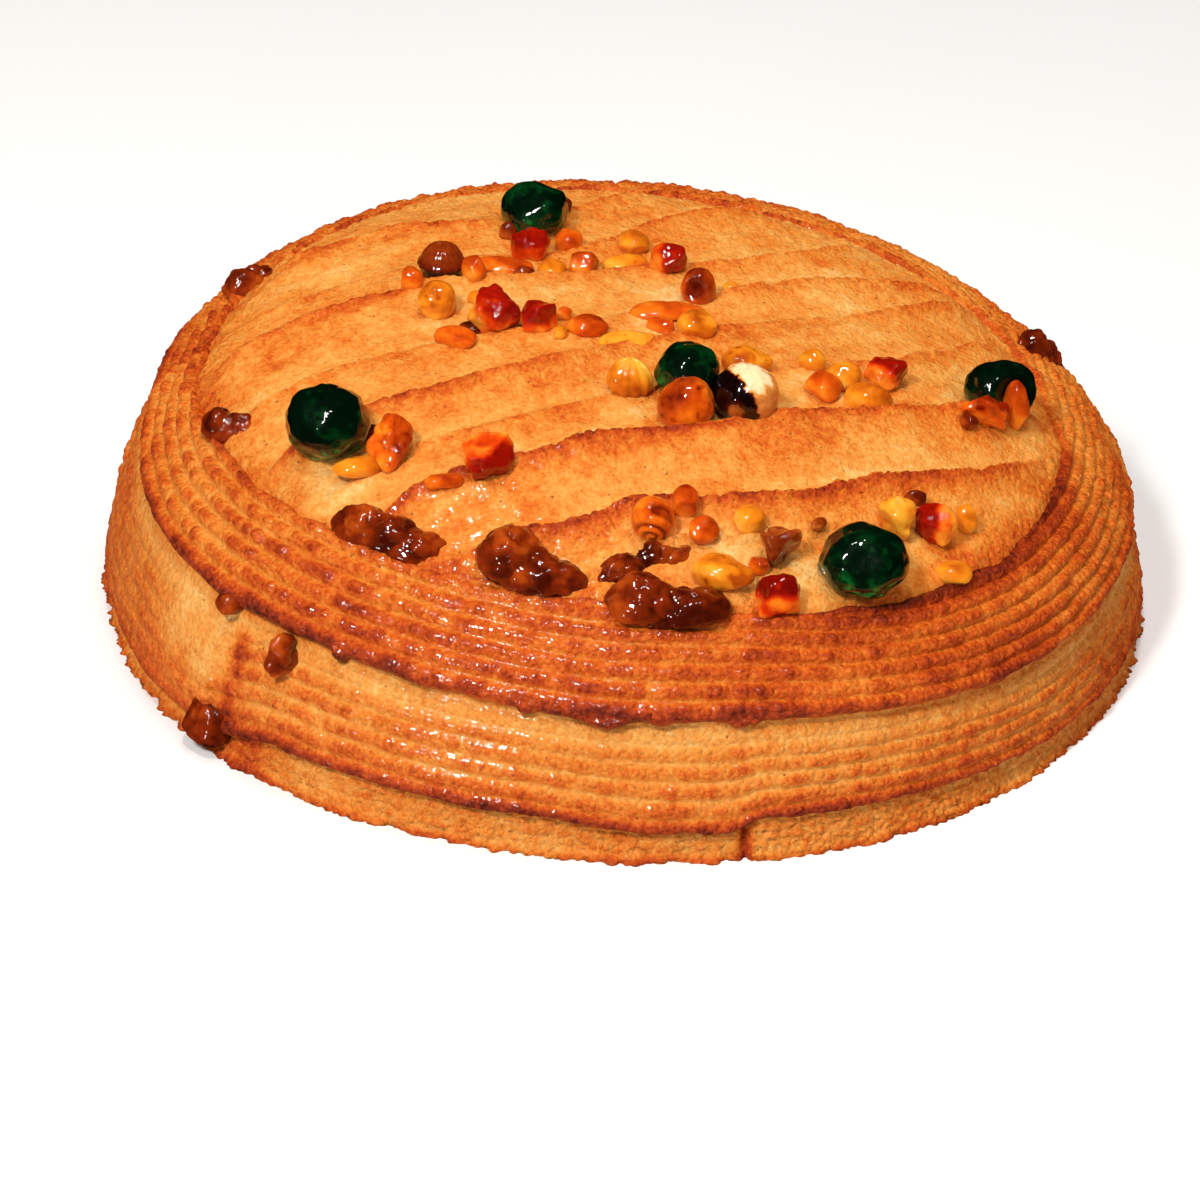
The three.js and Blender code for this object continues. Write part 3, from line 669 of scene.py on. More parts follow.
def base_ribbon(side, material):
    b, run, lap = side.bearings, side.run, side.middle_lap
    up = blend(0 * lap, lap + TUCK, np.linspace(0, 1, BASE_ROWS)[:, None])
    height = torn_ribs(up / BASE_PITCH + 0.08 * round_noise(b, 20, 71), run, 1.9, 72)[0]
    height = blend(height, beads(run / 1.8, up / 1.7, 73), 0.6)
    share = np.clip(up / lap, 0, 1)
    out = blend(FOOT_OUT, LAP_IN, np.sqrt(share)) + BASE_RELIEF * (height - 0.5)
    frayed = (round_noise(b, 5, 74) + 0.8 * round_noise(b, 2.2, 75)) * smooth(1 - up / 3)
    step = 0.9 * window(b, STEP_DEG + 0.2, -52, 0.6) * smooth((-40 - b) / 30)
    cleft = 2.2 * hump(b, STEP_DEG, 0.45)
    out = out + frayed + step - cleft + 0.3 * noise(run / 8, up / 6, 3, 76)
    # The cleft where the two lengths meet is painted darker as well: painted shade in the cleft.
    bake = 0.2 + 0.2 * height + 0.22 * smooth(1 - up / 2.2) + 0.35 * hump(b, STEP_DEG, 0.7)
    bake = bake + 0.2 * hump(b, -132, 4) + 0.08 * noise(run / 20, up / 9, 1, 77)
    fields = {"bake": bake, "wet": 0.05 + 0 * up, "grain": 0.8 + 0 * up}
    ribbon_piece("base_ribbon", side, up, out, fields, material)


# ---- the smooth top


def disc_grid(cells):
    """A square grid pressed into a disc of radius 1, turned to run along the strips."""
    line = np.linspace(-1, 1, cells + 1)
    a, b = np.meshgrid(line, line, indexing="ij")
    x = a * np.sqrt(1 - b * b / 2)
    y = b * np.sqrt(1 - a * a / 2)
    return x * STRIP_COS - y * STRIP_SIN, x * STRIP_SIN + y * STRIP_COS


def square_quads(cells):
    """Faces of a square grid with its corners' places on a map, and its border's points in order."""
    row, column = grid_cells(cells, cells)
    width = cells + 1
    quads = cell_quads(row, column, row + 1, column + 1, width)
    uv = np.stack([quads // width, quads % width], axis=2) / cells
    span = np.arange(cells)
    back = span[::-1] + 1
    border = np.concatenate([span, span * width + cells, cells * width + back, back * width])
    return quads, 0.005 + 0.96 * uv, border


def top_fields(x, y, radius, bearing):
    """Height above the part's plain form, and the looks, of the smooth top."""
    along = x * STRIP_COS + y * STRIP_SIN
    across = y * STRIP_COS - x * STRIP_SIN
    relief, crest, lee = strips_at(x, y)
    inside = cap_edge(bearing) + out_of_round(bearing) - radius
    fade = smooth(inside / STRIP_END)
    rim = smooth(1 - inside / 9)
    crest = crest * fade
    fine = 0.28 * noise(along / 13, across / 4, 0, 81) + 0.16 * noise(along / 5, across / 3, 0, 82)
    streaks = 0.12 * noise(along / 40, across / 1.6, 0, 83)
    bubbly = 0.5 + 0.5 * noise(x / 12, y / 12, 0, 88)
    pimples = beads(x / 1.9, y / 1.9, 84) * (0.7 * np.clip(crest, 0, 1) + 0.5 * rim + 0.1 + 0.3 * bubbly)
    dimples = 0.22 * noise(x / 2.6, y / 2.6, 0, 89)
    height = fade * relief + fine + streaks + pimples + dimples - 3.0 * smooth((1.5 - inside) / 5)
    behind_middle = smooth((y + 20) / 90)
    bake = 0.33 + 0.44 * crest - 0.12 * lee * fade + (0.16 - 0.14 * behind_middle) * rim
    bake = bake - 0.03 * behind_middle + 0.035 * streaks - 0.25 * dimples
    bake = bake + 0.07 * noise(x / 28, y / 28, 0, 85) + 0.07 * noise(along / 30, across / 5, 0, 86)
    bake = bake + 0.06 * noise(x / 8, y / 8, 0, 90)
    front = hump(x, -60, 55) * hump(y, -98, 22)
    pooled = sum(hump(np.hypot(x - at_x, y - at_y), 0, reach) for at_x, at_y, reach in POOLS)
    pooled = smooth(2.2 * pooled - 0.6 + 0.7 * noise(x / 6, y / 6, 0, 87)) * (1 - 0.6 * crest)
    height = height - pooled * (0.6 * pimples + 0.5 * fine) + 0.35 * pooled
    wet = 0.12 + 0.5 * front + 0.88 * pooled
    bake = bake - 0.16 * pooled
    grain = (0.35 + 0.5 * crest + 0.3 * rim) * (1 - 0.75 * pooled)
    return height, {"bake": bake, "wet": np.clip(wet, 0, 1), "grain": grain}


def fan(first, count, middle):
    """Faces that close a ring of points with one in its middle, two steps of the ring to a face."""
    pairs = np.arange(0, count, 2)
    ring = [first + pairs, first + pairs + 1, first + (pairs + 2) % count]
    return np.stack([*ring, np.full_like(pairs, middle)], axis=1)


def smooth_top(material):
    unit_x, unit_y = disc_grid(CAP_CELLS)
    bearing = np.degrees(np.arctan2(unit_y, unit_x))
    reach = cap_edge(bearing) + out_of_round(bearing) + CAP_OVERLAP
    x = unit_x * reach
    y = unit_y * reach
    radius = np.hypot(x, y)
    height, fields = top_fields(x, y, radius, bearing)
    z = lean(x, y, form_height(np.minimum(radius, RADIUS - 1), bearing)) - CAP_SINK + height
    quads, uv, border = square_quads(CAP_CELLS)
    points = np.stack([x, y, z], axis=-1).reshape(-1, 3)
    edge = points[border]
    wall_foot = edge * [0.97, 0.97, 1] - [0, 0, CAP_SKIRT]
    inner = edge * [0.5, 0.5, 0] + [0, 0, CAP_FLOOR]
    count = len(border)
    skirt = len(points)
    floor = skirt + count
    here = np.arange(count)
    after = (here + 1) % count
    wall = np.stack([border, border[after], skirt + after, skirt + here], 1)
    under = np.stack([skirt + here, skirt + after, floor + after, floor + here], 1)
    extra = np.vstack([wall, under, fan(floor, count, floor + count)])
    corner = 0.975 + np.array([[0, 0], [0.01, 0], [0.01, 0.01], [0, 0.01]])
    uv = np.vstack([uv, np.broadcast_to(corner, (len(extra), 4, 2))])
    points = np.vstack([points, wall_foot, inner, [[0, 0, CAP_FLOOR]]])
    pad = np.zeros(len(points) - x.size)
    padded = {key: np.concatenate([v.ravel(), pad]) for key, v in fields.items()}
    add_piece("smooth_top", points, np.vstack([quads, extra]), material, ["cake"], padded, uv)


def core(material):
    """The inside of the cake: its flat underside, and what closes the gaps between the ribbons."""
    side = SideCurves(CORE_COLUMNS)
    top = side.length_at(form_height(cap_radius(side.bearings) - 6, side.bearings))
    up = top * np.linspace(0, 1, CORE_ROWS)[:, None]
    shell = side.place(up, np.full_like(up, -CORE_DEPTH))
    shell[0, :, 2] = 0
    shares = [0.3, 0.6, 0.88]
    floor = [shell[0] * [s, s, 0] for s in shares]
    roof = [shell[-1] * [s, s, 0] + [0, 0, CORE_ROOF] for s in reversed(shares)]
    rings = np.concatenate([floor, shell, roof])
    quads, uv = ring_quads(len(rings), CORE_COLUMNS)
    middle = len(rings) * CORE_COLUMNS
    under = fan(0, CORE_COLUMNS, middle)[:, [2, 1, 0, 3]]
    over = fan(middle - CORE_COLUMNS, CORE_COLUMNS, middle + 1)
    quads = np.vstack([quads[:-CORE_COLUMNS], under, over])
    uv = np.concatenate([uv[:-CORE_COLUMNS], uv[-CORE_COLUMNS::2], uv[-CORE_COLUMNS + 1 :: 2]])
    points = np.vstack([rings.reshape(-1, 3), [[0, 0, 0], [0, 0, CORE_ROOF]]])
    plain = np.zeros(len(points))
    fields = {"bake": plain + 0.3, "wet": plain, "grain": plain + 0.6}
    add_piece("core", points, quads, material, ["cake"], fields, uv)


# ---- rounded things


def sphere_grid(columns, rows):
    """Sphere points of width 1 with single poles, and its faces as quads."""
    polar = np.pi * np.arange(1, rows) / rows
    turn = 2 * np.pi * np.arange(columns) / columns
    x = np.outer(np.sin(polar), np.cos(turn)).ravel()
    y = np.outer(np.sin(polar), np.sin(turn)).ravel()
    z = np.repeat(np.cos(polar), columns)
    points = np.vstack([np.stack([x, y, z], 1), [[0, 0, 1]], [[0, 0, -1]]]) / 2
    row, column = grid_cells(rows - 2, columns)
    quads = cell_quads(row, column, row + 1, (column + 1) % columns, columns)
    top, bottom = len(points) - 2, len(points) - 1
    cap = fan(0, columns, top)[:, [3, 0, 1, 2]]
    end = fan((rows - 2) * columns, columns, bottom)[:, [3, 2, 1, 0]]
    return points, np.vstack([quads, cap, end])


def directions(points):
    return points / np.maximum(np.linalg.norm(points, axis=1), 1e-9)[:, None]


def facing(points, way):
    """How squarely each place of a rounded body faces a way, from -1 to 1."""
    way = np.array(way, float)
    return directions(points) @ (way / np.linalg.norm(way))


def pebble(points, seed, roughness):
    """The part's soft dents on a sphere of width 1."""
    x, y, z = points.T
    swell = np.sin(7 * x + seed) + np.sin(8 * y + 2.3 * seed) + np.sin(6 * z + 3.1 * seed)
    return points * (1 + roughness * swell / 3)[:, None]


def fruit_block(points, seed):
    """The part's rounded block, from a sphere's points."""
    block = points / np.abs(points).max(axis=1)[:, None] / 2
    shape = blend(block, directions(points) * 0.6, 0.5)
    shape[:, 0] += 0.12 * shape[:, 2] * math.sin(seed)
    shape[:, 1] += 0.12 * shape[:, 2] * math.cos(2 * seed)
    return shape


def facets(points, seed, count, depth):
    """Flat faces pressed into a rounded shape from a few sides."""
    rng = np.random.default_rng(seed)
    shape = points.copy()
    for _ in range(count):
        way = rng.normal(size=3)
        way /= np.linalg.norm(way)
        reach = shape @ way
        over = np.maximum(reach - (reach.max() - depth * rng.uniform(0.4, 1.0)), 0)
        shape -= np.outer(over * 0.85, way)
    return shape


def push(points, amount):
    """Moves each point out from the middle by its own amount in mm."""
    return points + directions(points) * np.asarray(amount)[:, None]


def wrinkle(points, seed, length, depth):
    x, y, z = (points / length).T
    rough = noise(x, y, z, seed) + 0.5 * noise(2.1 * x, 2.1 * y, 2.1 * z, seed + 1)
    return push(points, depth * rough)


def dent(points, way, width, depth):
    """A round hollow facing a way. width is the cosine at its edge."""
    return push(points, -depth * smooth((facing(points, way) - width) / (1 - width)))


def sized(shape, size, turn):
    """A shape of width 1 made to size in mm and turned about the upright, around its middle."""
    points = shape * np.array(size, float)
    cos, sin = math.cos(math.radians(turn)), math.sin(math.radians(turn))
    x = points[:, 0] * cos - points[:, 1] * sin
    y = points[:, 0] * sin + points[:, 1] * cos
    return np.stack([x, y, points[:, 2]], axis=1)


def on_top(points, at, height, sink=SINK):
    """Sets a body round its middle down on the top at a place."""
    return points + [*at, float(top_height(*at)) + height / 2 - sink]


def tinted(points, seed, dark_way=None, strength=0):
    """A tint that wanders over a body, darker on the side that faces a way."""
    x, y, z = (points / TINT_PATCH).T
    tint = 0.55 + 0.3 * noise(x, y, z, seed) + 0.12 * noise(3 * x, 3 * y, 3 * z, seed + 1)
    if dark_way is not None:
        tint = tint - strength * smooth(0.5 + 1.4 * facing(points, dark_way))
    return np.clip(tint, 0, 1)


# ---- fruit and nuts


def add_topping(name, body, quads, at, height, material, tint):
    add_piece(name, on_top(body, at, height), quads, material, [name], {"tint": tint})


def make_cherries(looks):
    for seed, (name, (at, size, turn)) in enumerate(CHERRIES.items(), 1):
        points, quads = sphere_grid(76, 50)
        shape = facets(pebble(points, seed, 0.07), 100 + seed, 18, 0.05)
        body = wrinkle(sized(shape, size, turn), 200 + seed, 4, 0.5)
        # Lighter green on the lower side, and in flecks that gather there: painted glow of light shining
        # through the fruit.
        low = smooth(0.3 - 1.4 * facing(body, (0, 0, 1)))
        x, y, z = (body / 1.6).T
        glint_flecks = smooth(2.5 * noise(x, y, z, 210 + seed) - 0.3) * (0.3 + 0.7 * low)
        clear = 0.5 if name in ("cherry_centre", "cherry_back") else 0.36
        tint = clear + 0.25 * low + 0.45 * glint_flecks + 0.2 * noise(x / 3, y / 3, z / 3, 220 + seed)
        if name == "cherry_right":
            body = dent(body, (0.5, -0.85, 0.15), 0.6, 4.5)
        add_topping(name, body, quads, at, size[2], looks["cherry"], tint)


def pleats(body, seed, count, depth):
    """Creases that run down a nut from its tip."""
    angle = np.arctan2(body[:, 1], body[:, 0])
    wander = 0.5 * noise(*(body / 5).T, seed)
    return push(body, depth * (np.abs(np.sin(0.5 * count * angle + wander)) - 0.6))


def egg(points, taper):
    """A body drawn to a tip at its +X end."""
    slim = 1 - taper * smooth(0.2 + 1.6 * points[:, 0])
    return points * np.stack([np.ones(len(slim)), slim, slim], axis=1)


def hazelnut_burnt(body, seed):
    """Black and glossy on the left, cream where its skin is off."""
    jag = 0.16 * noise(*(body / 1.8).T, seed) + 0.1 * noise(*(body / 0.8).T, seed)
    dark = smooth(6 * (facing(body, (-1, -0.55, -0.25)) - 0.22 + jag) + 0.5)
    cream = smooth(4 * (facing(body, (-0.05, -0.3, 1)) - 0.7 + jag) + 0.5)
    chip = hump(facing(body, (-0.35, -1, -0.1)), 1, 0.06)
    tint = blend(blend(0.52, 0.9, cream), 0.08, dark) + 0.35 * chip * dark
    return pleats(body, seed, 11, 0.25), tint


def hazelnut_pale(body, seed):
    return pleats(body, seed, 12, 0.7), tinted(body, seed, (-0.6, -0.4, -0.6), 0.4)


def hazelnut_brown(body, seed):
    """Its skin's cap sits over a ridge."""
    level = body[:, 2] / 12
    band = hump(level, 0.02, 0.07)
    shaped = pleats(push(body, 0.7 * band - 0.5 * hump(level, -0.12, 0.05)), seed, 18, 0.35)
    return shaped, np.clip(0.24 + 0.2 * smooth(6 * level) - 0.3 * hump(level, -0.1, 0.12), 0, 1)


def hazelnut_shell(body, seed):
    """Lies on its side, with a hollow towards the front, darkened inside with painted shade."""
    way = (-0.25, -0.9, 0.35)
    hollow_shade = smooth((facing(body, way) - 0.72) / 0.12)
    shaped = dent(body, way, 0.7, 4.2)
    # The hollow's inside is painted dark: painted shade.
    return shaped, np.clip(tinted(body, seed, (0.8, 0, 0.6), 0.3) - 0.7 * hollow_shade, 0, 1)


def hazelnut_curled(body, seed):
    """A shaving rolled up, with its spiral towards the front."""
    sideways, upward = body[:, 0], body[:, 2] * 0.85 - body[:, 1] * 0.5
    angle = np.arctan2(upward, sideways) / (2 * np.pi)
    spiral = (np.hypot(sideways, upward) / 2.1 - angle) % 1
    front = smooth(2.5 * facing(body, (0, -0.9, 0.45)))
    shaded_groove = hump(spiral, 0.5, 0.16) * front
    # The groove is also painted darker: painted shade in the groove.
    return push(body, -1.0 * shaded_groove), np.clip(tinted(body, seed) + 0.1 - 0.5 * shaded_groove, 0, 1)


def plain_nut(body, seed, dark_way, strength):
    spots = smooth(3 * noise(*(body / 1.5).T, seed + 3) - 1.2)
    return wrinkle(body, seed, 3.5, 0.4), tinted(body, seed, dark_way, strength) - 0.3 * spots


# The nuts that aren't plain.
FINISHES = {
    "hazelnut_burnt": hazelnut_burnt,
    "hazelnut_pale": hazelnut_pale,
    "hazelnut_brown": hazelnut_brown,
    "hazelnut_shell": hazelnut_shell,
    "hazelnut_curled": hazelnut_curled,
}

# For each kind of nut, how many flat faces it has, how deep they are, and how deep it is wrinkled.
NUT_KINDS = {"round": (2, 0.03, 0), "egg": (3, 0.05, 0), "chunk": (9, 0.17, 1.1), "shard": (7, 0.3, 1.7)}


def make_nuts(looks):
    for seed, (name, (at, size, turn, palette, kind, *darker)) in enumerate(NUTS.items(), 1):
        points, quads = sphere_grid(60, 40)
        shape = pebble(points, seed, 0.06)
        if kind == "egg":
            shape = egg(shape, 0.3)
        elif kind == "shard":
            shape = shape * 1.08
        count, depth, wrinkled = NUT_KINDS[kind]
        shape = facets(shape, 300 + seed, count, depth)
        finish = FINISHES.get(name, plain_nut)
        body, tint = finish(sized(shape, size, turn), 400 + seed, *darker)
        body = wrinkle(body, 430 + seed, 4.4, wrinkled)
        add_topping(name, body, quads, at, size[2], looks[palette], tint)


def make_fruit(looks):
    for seed, (name, (at, size, turn, palette, dark_way)) in enumerate(FRUIT.items(), 1):
        points, quads = sphere_grid(60, 40)
        shape = facets(blend(fruit_block(points, seed), points * 1.15, 0.4), 500 + seed, 9, 0.18)
        body = wrinkle(sized(shape, size, turn), 510 + seed, 3.2, 0.9)
        tint = 0.2 + tinted(body, 520 + seed, dark_way, 0.6)
        add_topping(name, body, quads, at, size[2], looks[palette], tint)


class Gathered:
    """Many small bodies gathered into one piece."""

    def __init__(self):
        self.points, self.quads, self.tints, self.count = [], [], [], 0

    def add(self, points, quads, tint):
        self.points.append(points)
        self.quads.append(quads + self.count)
        self.tints.append(tint)
        self.count += len(points)

    def build(self, name, material):
        fields = {"tint": np.concatenate(self.tints)}
        add_piece(name, np.vstack(self.points), np.vstack(self.quads), material, ["cake"], fields)


def make_chopped(looks):
    """Chopped nuts, one piece for each palette."""
    kinds = {palette: Gathered() for palette in ("gold", "orange", "brown")}
    for i, (at, size, turn, palette) in enumerate(CHOPPED):
        points, quads = sphere_grid(36, 26)
        shape = facets(pebble(points, i + 21, 0.14), 600 + i, 7, 0.13)
        body = wrinkle(sized(shape, size, turn), 700 + i, 3, 0.22)
        tint = tinted(body, 720 + i, (0.4, 0.3, 0.6), 0.3)
        kinds[palette].add(on_top(body, at, size[2], size[2] * 0.25), quads, tint)
    for palette, kind in kinds.items():
        kind.build("chopped_" + palette, looks[palette])


def lump_bodies():
    """The pebbles that a caramelised end is made of, round their middles, and those middles, in mm."""
    points, quads = sphere_grid(48, 32)
    for number, (start, stop, width, height) in enumerate(TOP_LUMPS + LOW_RIDGES):
        run = np.array(stop, float) - np.array(start, float)
        turn = math.degrees(math.atan2(run[1], run[0]))
        long = float(np.hypot(*run)) * 0.5 + width * 0.7
        for i, share in enumerate((0.12, 0.5, 0.88)):
            x, y = np.array(start) + share * run
            size = (long, width * (1 - 0.1 * i), (height + 4) * (1.15 - 0.18 * i))
            body = sized(pebble(points, number + 1 + i, 0.16), size, turn + 12 * i)
            on_ribbon = math.hypot(x, y) > cap_radius(math.degrees(math.atan2(y, x)))
            bury = RIBBON_BURY if on_ribbon else LUMP_BURY
            yield body, np.array([x, y, top_height(x, y) + size[2] / 2 - bury]), quads
    for number, (bearing, z, (across, out, up)) in enumerate(SIDE_LUMPS):
        body = sized(pebble(points, number + 11, 0.16), (out, across, up), bearing)
        r = form_radius(z, bearing) + out * 0.1
        x, y = r * math.cos(math.radians(bearing)), r * math.sin(math.radians(bearing))
        yield body, np.array([x, y, max(lean(x, y, z), up * 0.6)]), quads


def make_lumps(looks):
    """Caramelised ends of strips and ribbons, dark and knobbly, in one piece."""
    lumps = Gathered()
    for body, middle, quads in lump_bodies():
        place = body + middle
        knobbly = knobs(place, 4.2, 800)
        finer = knobs(place, 2.3, 810)
        rough = knobbly - 0.45 + 0.6 * finer + 0.5 * noise(*(place / 2.4).T, 801)
        flare = 1 + 0.22 * smooth(0.35 - 1.3 * facing(body, (0, 0, 1)))
        body = body * np.stack([flare, flare, np.ones(len(flare))], axis=1)
        placed = push(body, rough) + middle
        placed[:, 2] = np.maximum(placed[:, 2], 0.2)
        tint = 0.2 * knobbly + 0.16 * finer + 0.34 * noise(*(place / 5).T, 802)
        lumps.add(placed, quads, np.clip(tint, 0, 1))
    lumps.build("caramel_ends", looks["caramel"])


# ---- materials


def linear(shade):
    """A screen colour, 0 to 255, as light."""
    values = [v / 255 for v in shade]
    return tuple(v / 12.92 if v <= 0.04045 else ((v + 0.055) / 1.055) ** 2.4 for v in values) + (1,)


class Look:
    """A node material under construction."""

    def __init__(self, name):
        self.material = bpy.data.materials.new(name)
        self.material.use_nodes = True
        self.tree = self.material.node_tree
        self.shader = self.tree.nodes["Principled BSDF"]
        self.place = self.node("ShaderNodeTexCoord").outputs["Object"]

    def set(self, **values):
        for key, value in values.items():
            self.feed(self.shader.inputs[key.replace("_", " ")], value)

    def node(self, kind, **inputs):
        made = self.tree.nodes.new(kind)
        for key, value in inputs.items():
            self.feed(made.inputs[key.replace("_", " ")], value)
        return made

    def feed(self, socket, value):
        if isinstance(value, bpy.types.NodeSocket):
            self.tree.links.new(value, socket)
        else:
            socket.default_value = value

    def noise(self, size_mm, detail=3.0, rough=0.55):
        """Noise from 0 to 1 with features of a size in mm."""
        scale = 1000 / size_mm
        made = self.node("ShaderNodeTexNoise", Vector=self.place, Scale=scale, Detail=detail, Roughness=rough)
        return made.outputs["Fac"]

    def cells(self, cell_mm):
        """Distance from scattered points, one to a cell of a size in mm."""
        return self.node("ShaderNodeTexVoronoi", Vector=self.place, Scale=1000 / cell_mm).outputs["Distance"]

    def field(self, name):
        made = self.tree.nodes.new("ShaderNodeAttribute")
        made.attribute_name = name
        return made.outputs["Fac"]

    def math(self, operation, a, b):
        made = self.tree.nodes.new("ShaderNodeMath")
        made.operation = operation
        self.feed(made.inputs[0], a)
        self.feed(made.inputs[1], b)
        return made.outputs[0]

    def times(self, a, b):
        return self.math("MULTIPLY", a, b)

    def swing(self, value, amount):
        """A value from 0 to 1 made a swing about 0."""
        return self.times(self.math("SUBTRACT", value, 0.5), amount)

    def add(self, *terms):
        total = terms[0]
        for term in terms[1:]:
            total = self.math("ADD", total, term)
        return total

    def ramp(self, value, stops):
        """Numbers or screen colours at places from 0 to 1."""
        made = self.tree.nodes.new("ShaderNodeValToRGB")
        elements = made.color_ramp.elements
        while len(elements) < len(stops):
            elements.new(0.5)
        for element, (place, shade) in zip(elements, stops):
            element.position = place
            element.color = (shade, shade, shade, 1) if isinstance(shade, (int, float)) else linear(shade)
        self.feed(made.inputs["Fac"], value)
        return made.outputs["Color"]

    def mix(self, share, a, b):
        made = self.tree.nodes.new("ShaderNodeMix")
        made.data_type = "RGBA"
        self.feed(made.inputs[0], share)
        self.feed(made.inputs[6], a)
        self.feed(made.inputs[7], b)
        return made.outputs[2]

    def bump(self, height, depth_mm, under=None):
        made = self.node("ShaderNodeBump", Height=height, Distance=depth_mm / 1000, Strength=1.0)
        if under is not None:
            self.feed(made.inputs["Normal"], under)
        return made.outputs["Normal"]


# Colours of the crust, from unbaked to burnt.
BAKED = [
    (0.0, (246, 198, 122)),
    (0.2, (238, 162, 74)),
    (0.4, (226, 126, 38)),
    (0.55, (208, 88, 14)),
    (0.7, (172, 56, 6)),
    (0.85, (126, 34, 4)),
    (1.0, (70, 16, 3)),
]


def crust_look(name, speckle, roughness):
    look = Look(name)
    grain = look.noise(1.1, 4.0, 0.65)
    specks = look.noise(2.8, 3.0)
    patches = look.noise(22, 2.0)
    bake = look.add(
        look.field("bake"),
        look.swing(grain, 0.6 * speckle),
        look.swing(specks, 0.4 * speckle),
        look.swing(patches, 0.16),
    )
    colour = look.ramp(bake, BAKED)
    pores = look.ramp(look.cells(5), [(0.055, 0.75), (0.085, 0.0)])
    colour = look.mix(pores, colour, linear((110, 52, 20)))
    crumbs = look.times(look.ramp(look.cells(1.5), [(0.0, 1.0), (0.75, 0.0)]), look.field("grain"))
    coarse = look.bump(crumbs, 0.7)
    normal = look.bump(grain, 0.8, coarse)
    glaze = look.times(look.field("wet"), look.ramp(look.noise(3.5, 3.0), [(0.38, 0.15), (0.58, 1.0)]))
    rough = look.add(roughness, look.swing(look.noise(6, 2.0), 0.25))
    look.set(
        Base_Color=colour,
        Roughness=rough,
        Specular_IOR_Level=0.22,
        Normal=normal,
        Coat_Weight=glaze,
        Coat_Roughness=0.05,
        Coat_IOR=1.45,
        Coat_Normal=look.bump(look.noise(2.4, 2.0), 0.2),
    )
    return look.material


PALETTES = {
    # The cherry's lightest greens show its painted glow of light through the fruit.
    "cherry": [(0.0, (0, 4, 1)), (0.45, (1, 18, 6)), (0.75, (4, 60, 20)), (1.0, (16, 124, 44))],
    "amber": [(0.0, (110, 22, 3)), (0.4, (196, 72, 8)), (0.7, (234, 116, 20)), (1.0, (250, 170, 62))],
    "gold": [(0.0, (176, 74, 8)), (0.35, (230, 130, 22)), (0.7, (246, 168, 50)), (1.0, (252, 206, 104))],
    "brown": [(0.0, (44, 6, 2)), (0.35, (112, 30, 5)), (0.7, (170, 70, 16)), (1.0, (226, 132, 50))],
    "burnt": [
        (0.1, (14, 2, 3)),
        (0.3, (60, 12, 5)),
        (0.45, (190, 96, 30)),
        (0.65, (232, 160, 80)),
        (0.9, (252, 216, 168)),
    ],
    "red": [(0.0, (66, 2, 1)), (0.4, (150, 14, 2)), (0.7, (204, 48, 5)), (1.0, (242, 124, 22))],
    "ember": [(0.0, (96, 4, 2)), (0.35, (166, 20, 3)), (0.6, (220, 70, 8)), (0.95, (246, 158, 44))],
    "orange": [(0.0, (140, 28, 3)), (0.4, (214, 84, 10)), (0.7, (240, 130, 26)), (1.0, (250, 178, 66))],
    "caramel": [(0.0, (64, 12, 2)), (0.3, (124, 36, 5)), (0.6, (176, 72, 14)), (1.0, (222, 128, 48))],
}


def glazed_look(name, glow):
    """Something glazed or candied. glow is how much light goes through its surface."""
    look = Look(name)
    tint = look.add(look.field("tint"), look.swing(look.noise(1.6, 3.0), 0.3))
    look.set(
        Base_Color=look.ramp(tint, PALETTES[name]),
        Roughness=look.add(0.4, look.swing(look.noise(3, 2.0), 0.1)),
        Specular_IOR_Level=0.02,
        Normal=look.bump(look.noise(1.8, 3.0), 0.22),
        Coat_Weight=1.0,
        Coat_Roughness=0.03,
        Coat_IOR=1.5,
        Coat_Normal=look.bump(look.noise(2.6, 2.0), 0.14),
        Subsurface_Weight=glow,
        Subsurface_Scale=0.002,
        Subsurface_Radius=(1.0, 0.45, 0.25),
    )
    return look.material


GLOW = {"cherry": 0.0, "red": 0.6, "ember": 0.6, "gold": 0.4, "amber": 0.4, "orange": 0.4}
FAINT_GLOW = 0.15


def make_looks():
    looks = {name: glazed_look(name, GLOW.get(name, FAINT_GLOW)) for name in PALETTES}
    looks["ribbon"] = crust_look("baked_ribbon", 1.0, 0.46)
    looks["top"] = crust_look("baked_top", 0.95, 0.52)
    return looks


# ---- camera, floor and light

VIEW_ELEVATION_DEG = 30
VIEW_ROLL_DEG = 2.9
VIEW_DISTANCE = 1.12            # in metres
PHOTO_PIXELS = 1200
FOCAL_PIXELS = 4040
SHIFT_PIXELS = (-24, -23.4)
SENSOR_WIDTH = 36               # in millimetres

# The four below are in metres.
FLOOR_HALF = 3
FLOOR_BEND = 0.8                # radius of its curve up into the backdrop
BACKDROP_TOP = 3.5
AIM_HEIGHT = 0.04               # of the point that the lights face


def make_camera():
    """The photograph's view."""
    data = bpy.data.cameras.new("camera")
    camera = bpy.data.objects.new("camera", data)
    bpy.context.scene.collection.objects.link(camera)
    elevation = math.radians(VIEW_ELEVATION_DEG)
    roll = math.radians(VIEW_ROLL_DEG)
    back = Vector((0, -math.cos(elevation), math.sin(elevation)))
    camera.location = back * VIEW_DISTANCE
    right = Vector((1, 0, 0))
    up = back.cross(right)
    rolled_right = right * math.cos(roll) + up * math.sin(roll)
    rolled_up = back.cross(rolled_right)
    camera.rotation_mode = "QUATERNION"
    camera.rotation_quaternion = Matrix((rolled_right, rolled_up, back)).transposed().to_quaternion()
    data.sensor_width = SENSOR_WIDTH
    data.lens = SENSOR_WIDTH * FOCAL_PIXELS / PHOTO_PIXELS
    data.shift_x, data.shift_y = (pixels / PHOTO_PIXELS for pixels in SHIFT_PIXELS)
    data.clip_end = 20
    bpy.context.scene.camera = camera


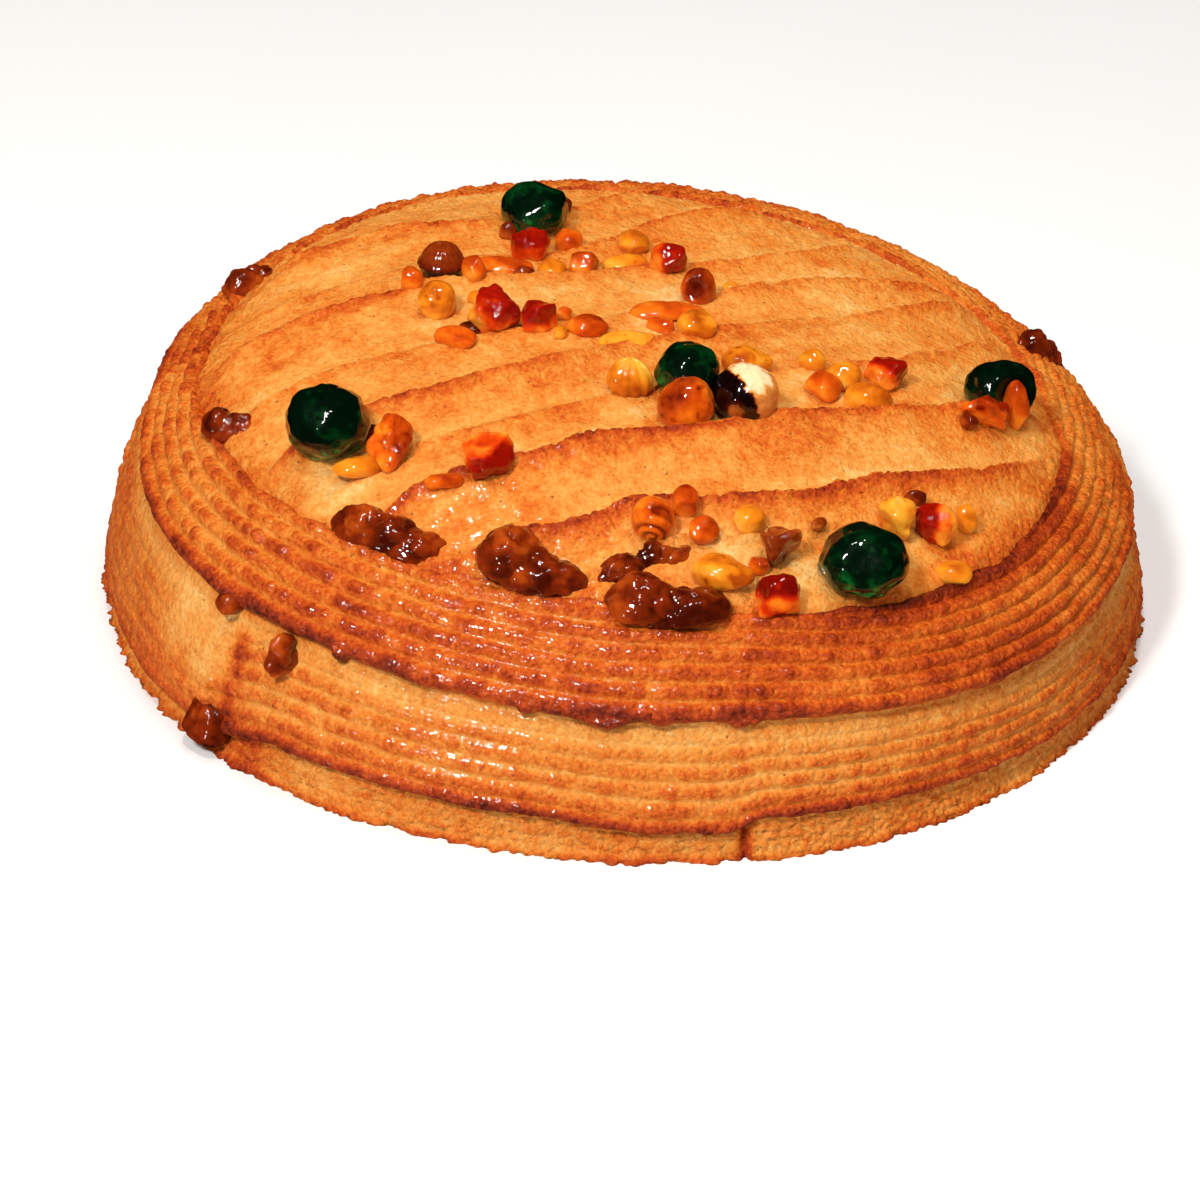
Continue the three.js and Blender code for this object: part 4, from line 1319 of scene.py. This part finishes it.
def make_floor():
    """A pale table that curves up into a backdrop."""
    bend = np.linspace(0.1, 1, 12) * np.pi / 2
    flat = FLOOR_HALF - FLOOR_BEND
    curve = flat + FLOOR_BEND * np.sin(bend)
    depth = np.concatenate([np.linspace(-FLOOR_HALF, flat, 12), curve, [FLOOR_HALF]])
    rise = np.concatenate([np.zeros(12), FLOOR_BEND * (1 - np.cos(bend)), [BACKDROP_TOP]])
    across = np.linspace(-FLOOR_HALF, FLOOR_HALF, 9)
    columns, rows = len(across), len(depth)
    points = np.stack([np.repeat(across, rows), np.tile(depth, columns), np.tile(rise, columns)], 1)
    column, row = grid_cells(columns - 1, rows - 1)
    quads = cell_quads(column, row, column + 1, row + 1, rows)
    mesh = bpy.data.meshes.new("floor")
    mesh.from_pydata(points.tolist(), [], quads.tolist())
    mesh.shade_smooth()
    look = Look("pale_table")
    shade = look.ramp(look.noise(400, 2.0), [(0.3, (247, 247, 246)), (0.7, (251, 251, 250))])
    look.set(Base_Color=shade, Roughness=0.6)
    mesh.materials.append(look.material)
    floor = bpy.data.objects.new("floor", mesh)
    floor.visible_glossy = False
    bpy.context.scene.collection.objects.link(floor)


def area_light(name, bearing, elevation, distance, size, power, colour=(1, 1, 1), mirrored=True):
    """A soft light at a bearing and a height above the horizon, turned to the cake.

    One that isn't mirrored lights the cake without showing in its gloss.
    """
    data = bpy.data.lights.new(name, "AREA")
    data.shape = "RECTANGLE"
    data.size, data.size_y = size
    data.energy = power
    data.color = colour
    light = bpy.data.objects.new(name, data)
    turn, rise = math.radians(bearing), math.radians(elevation)
    away = Vector((math.cos(turn) * math.cos(rise), math.sin(turn) * math.cos(rise), math.sin(rise)))
    light.location = away * distance + Vector((0, 0, AIM_HEIGHT))
    light.rotation_mode = "QUATERNION"
    light.rotation_quaternion = away.to_track_quat("Z", "Y")
    light.visible_glossy = mirrored
    bpy.context.scene.collection.objects.link(light)


def make_light():
    world = bpy.data.worlds.new("studio")
    world.use_nodes = True
    background = world.node_tree.nodes["Background"]
    background.inputs["Color"].default_value = (1.0, 0.985, 0.96, 1)
    background.inputs["Strength"].default_value = 0.2
    world.cycles_visibility.glossy = False
    bpy.context.scene.world = world
    area_light("key", -120, 47, 1.7, (0.2, 0.3), 20, (1.0, 0.97, 0.93))
    area_light("overhead", 60, 78, 1.5, (0.7, 0.5), 7, (1.0, 0.98, 0.95), mirrored=False)
    area_light("right_fill", -30, 38, 1.8, (0.8, 0.6), 5.5, (1.0, 0.97, 0.93), mirrored=False)
    area_light("glint", -100, 73, 1.4, (0.18, 0.12), 5)
    area_light("low_front", -124, 7, 1.5, (0.1, 0.14), 2.0)
    bpy.context.scene.view_settings.view_transform = "Standard"


# ---- the cake


def make_cake(looks):
    side = SideCurves(COLUMNS)
    core(looks["ribbon"])
    base_ribbon(side, looks["ribbon"])
    middle_ribbon(side, looks["ribbon"])
    upper_ribbon(side, looks["ribbon"])
    smooth_top(looks["top"])
    make_lumps(looks)
    make_chopped(looks)


make_camera()
make_floor()
make_light()
looks = make_looks()
make_cake(looks)
make_cherries(looks)
make_nuts(looks)
make_fruit(looks)
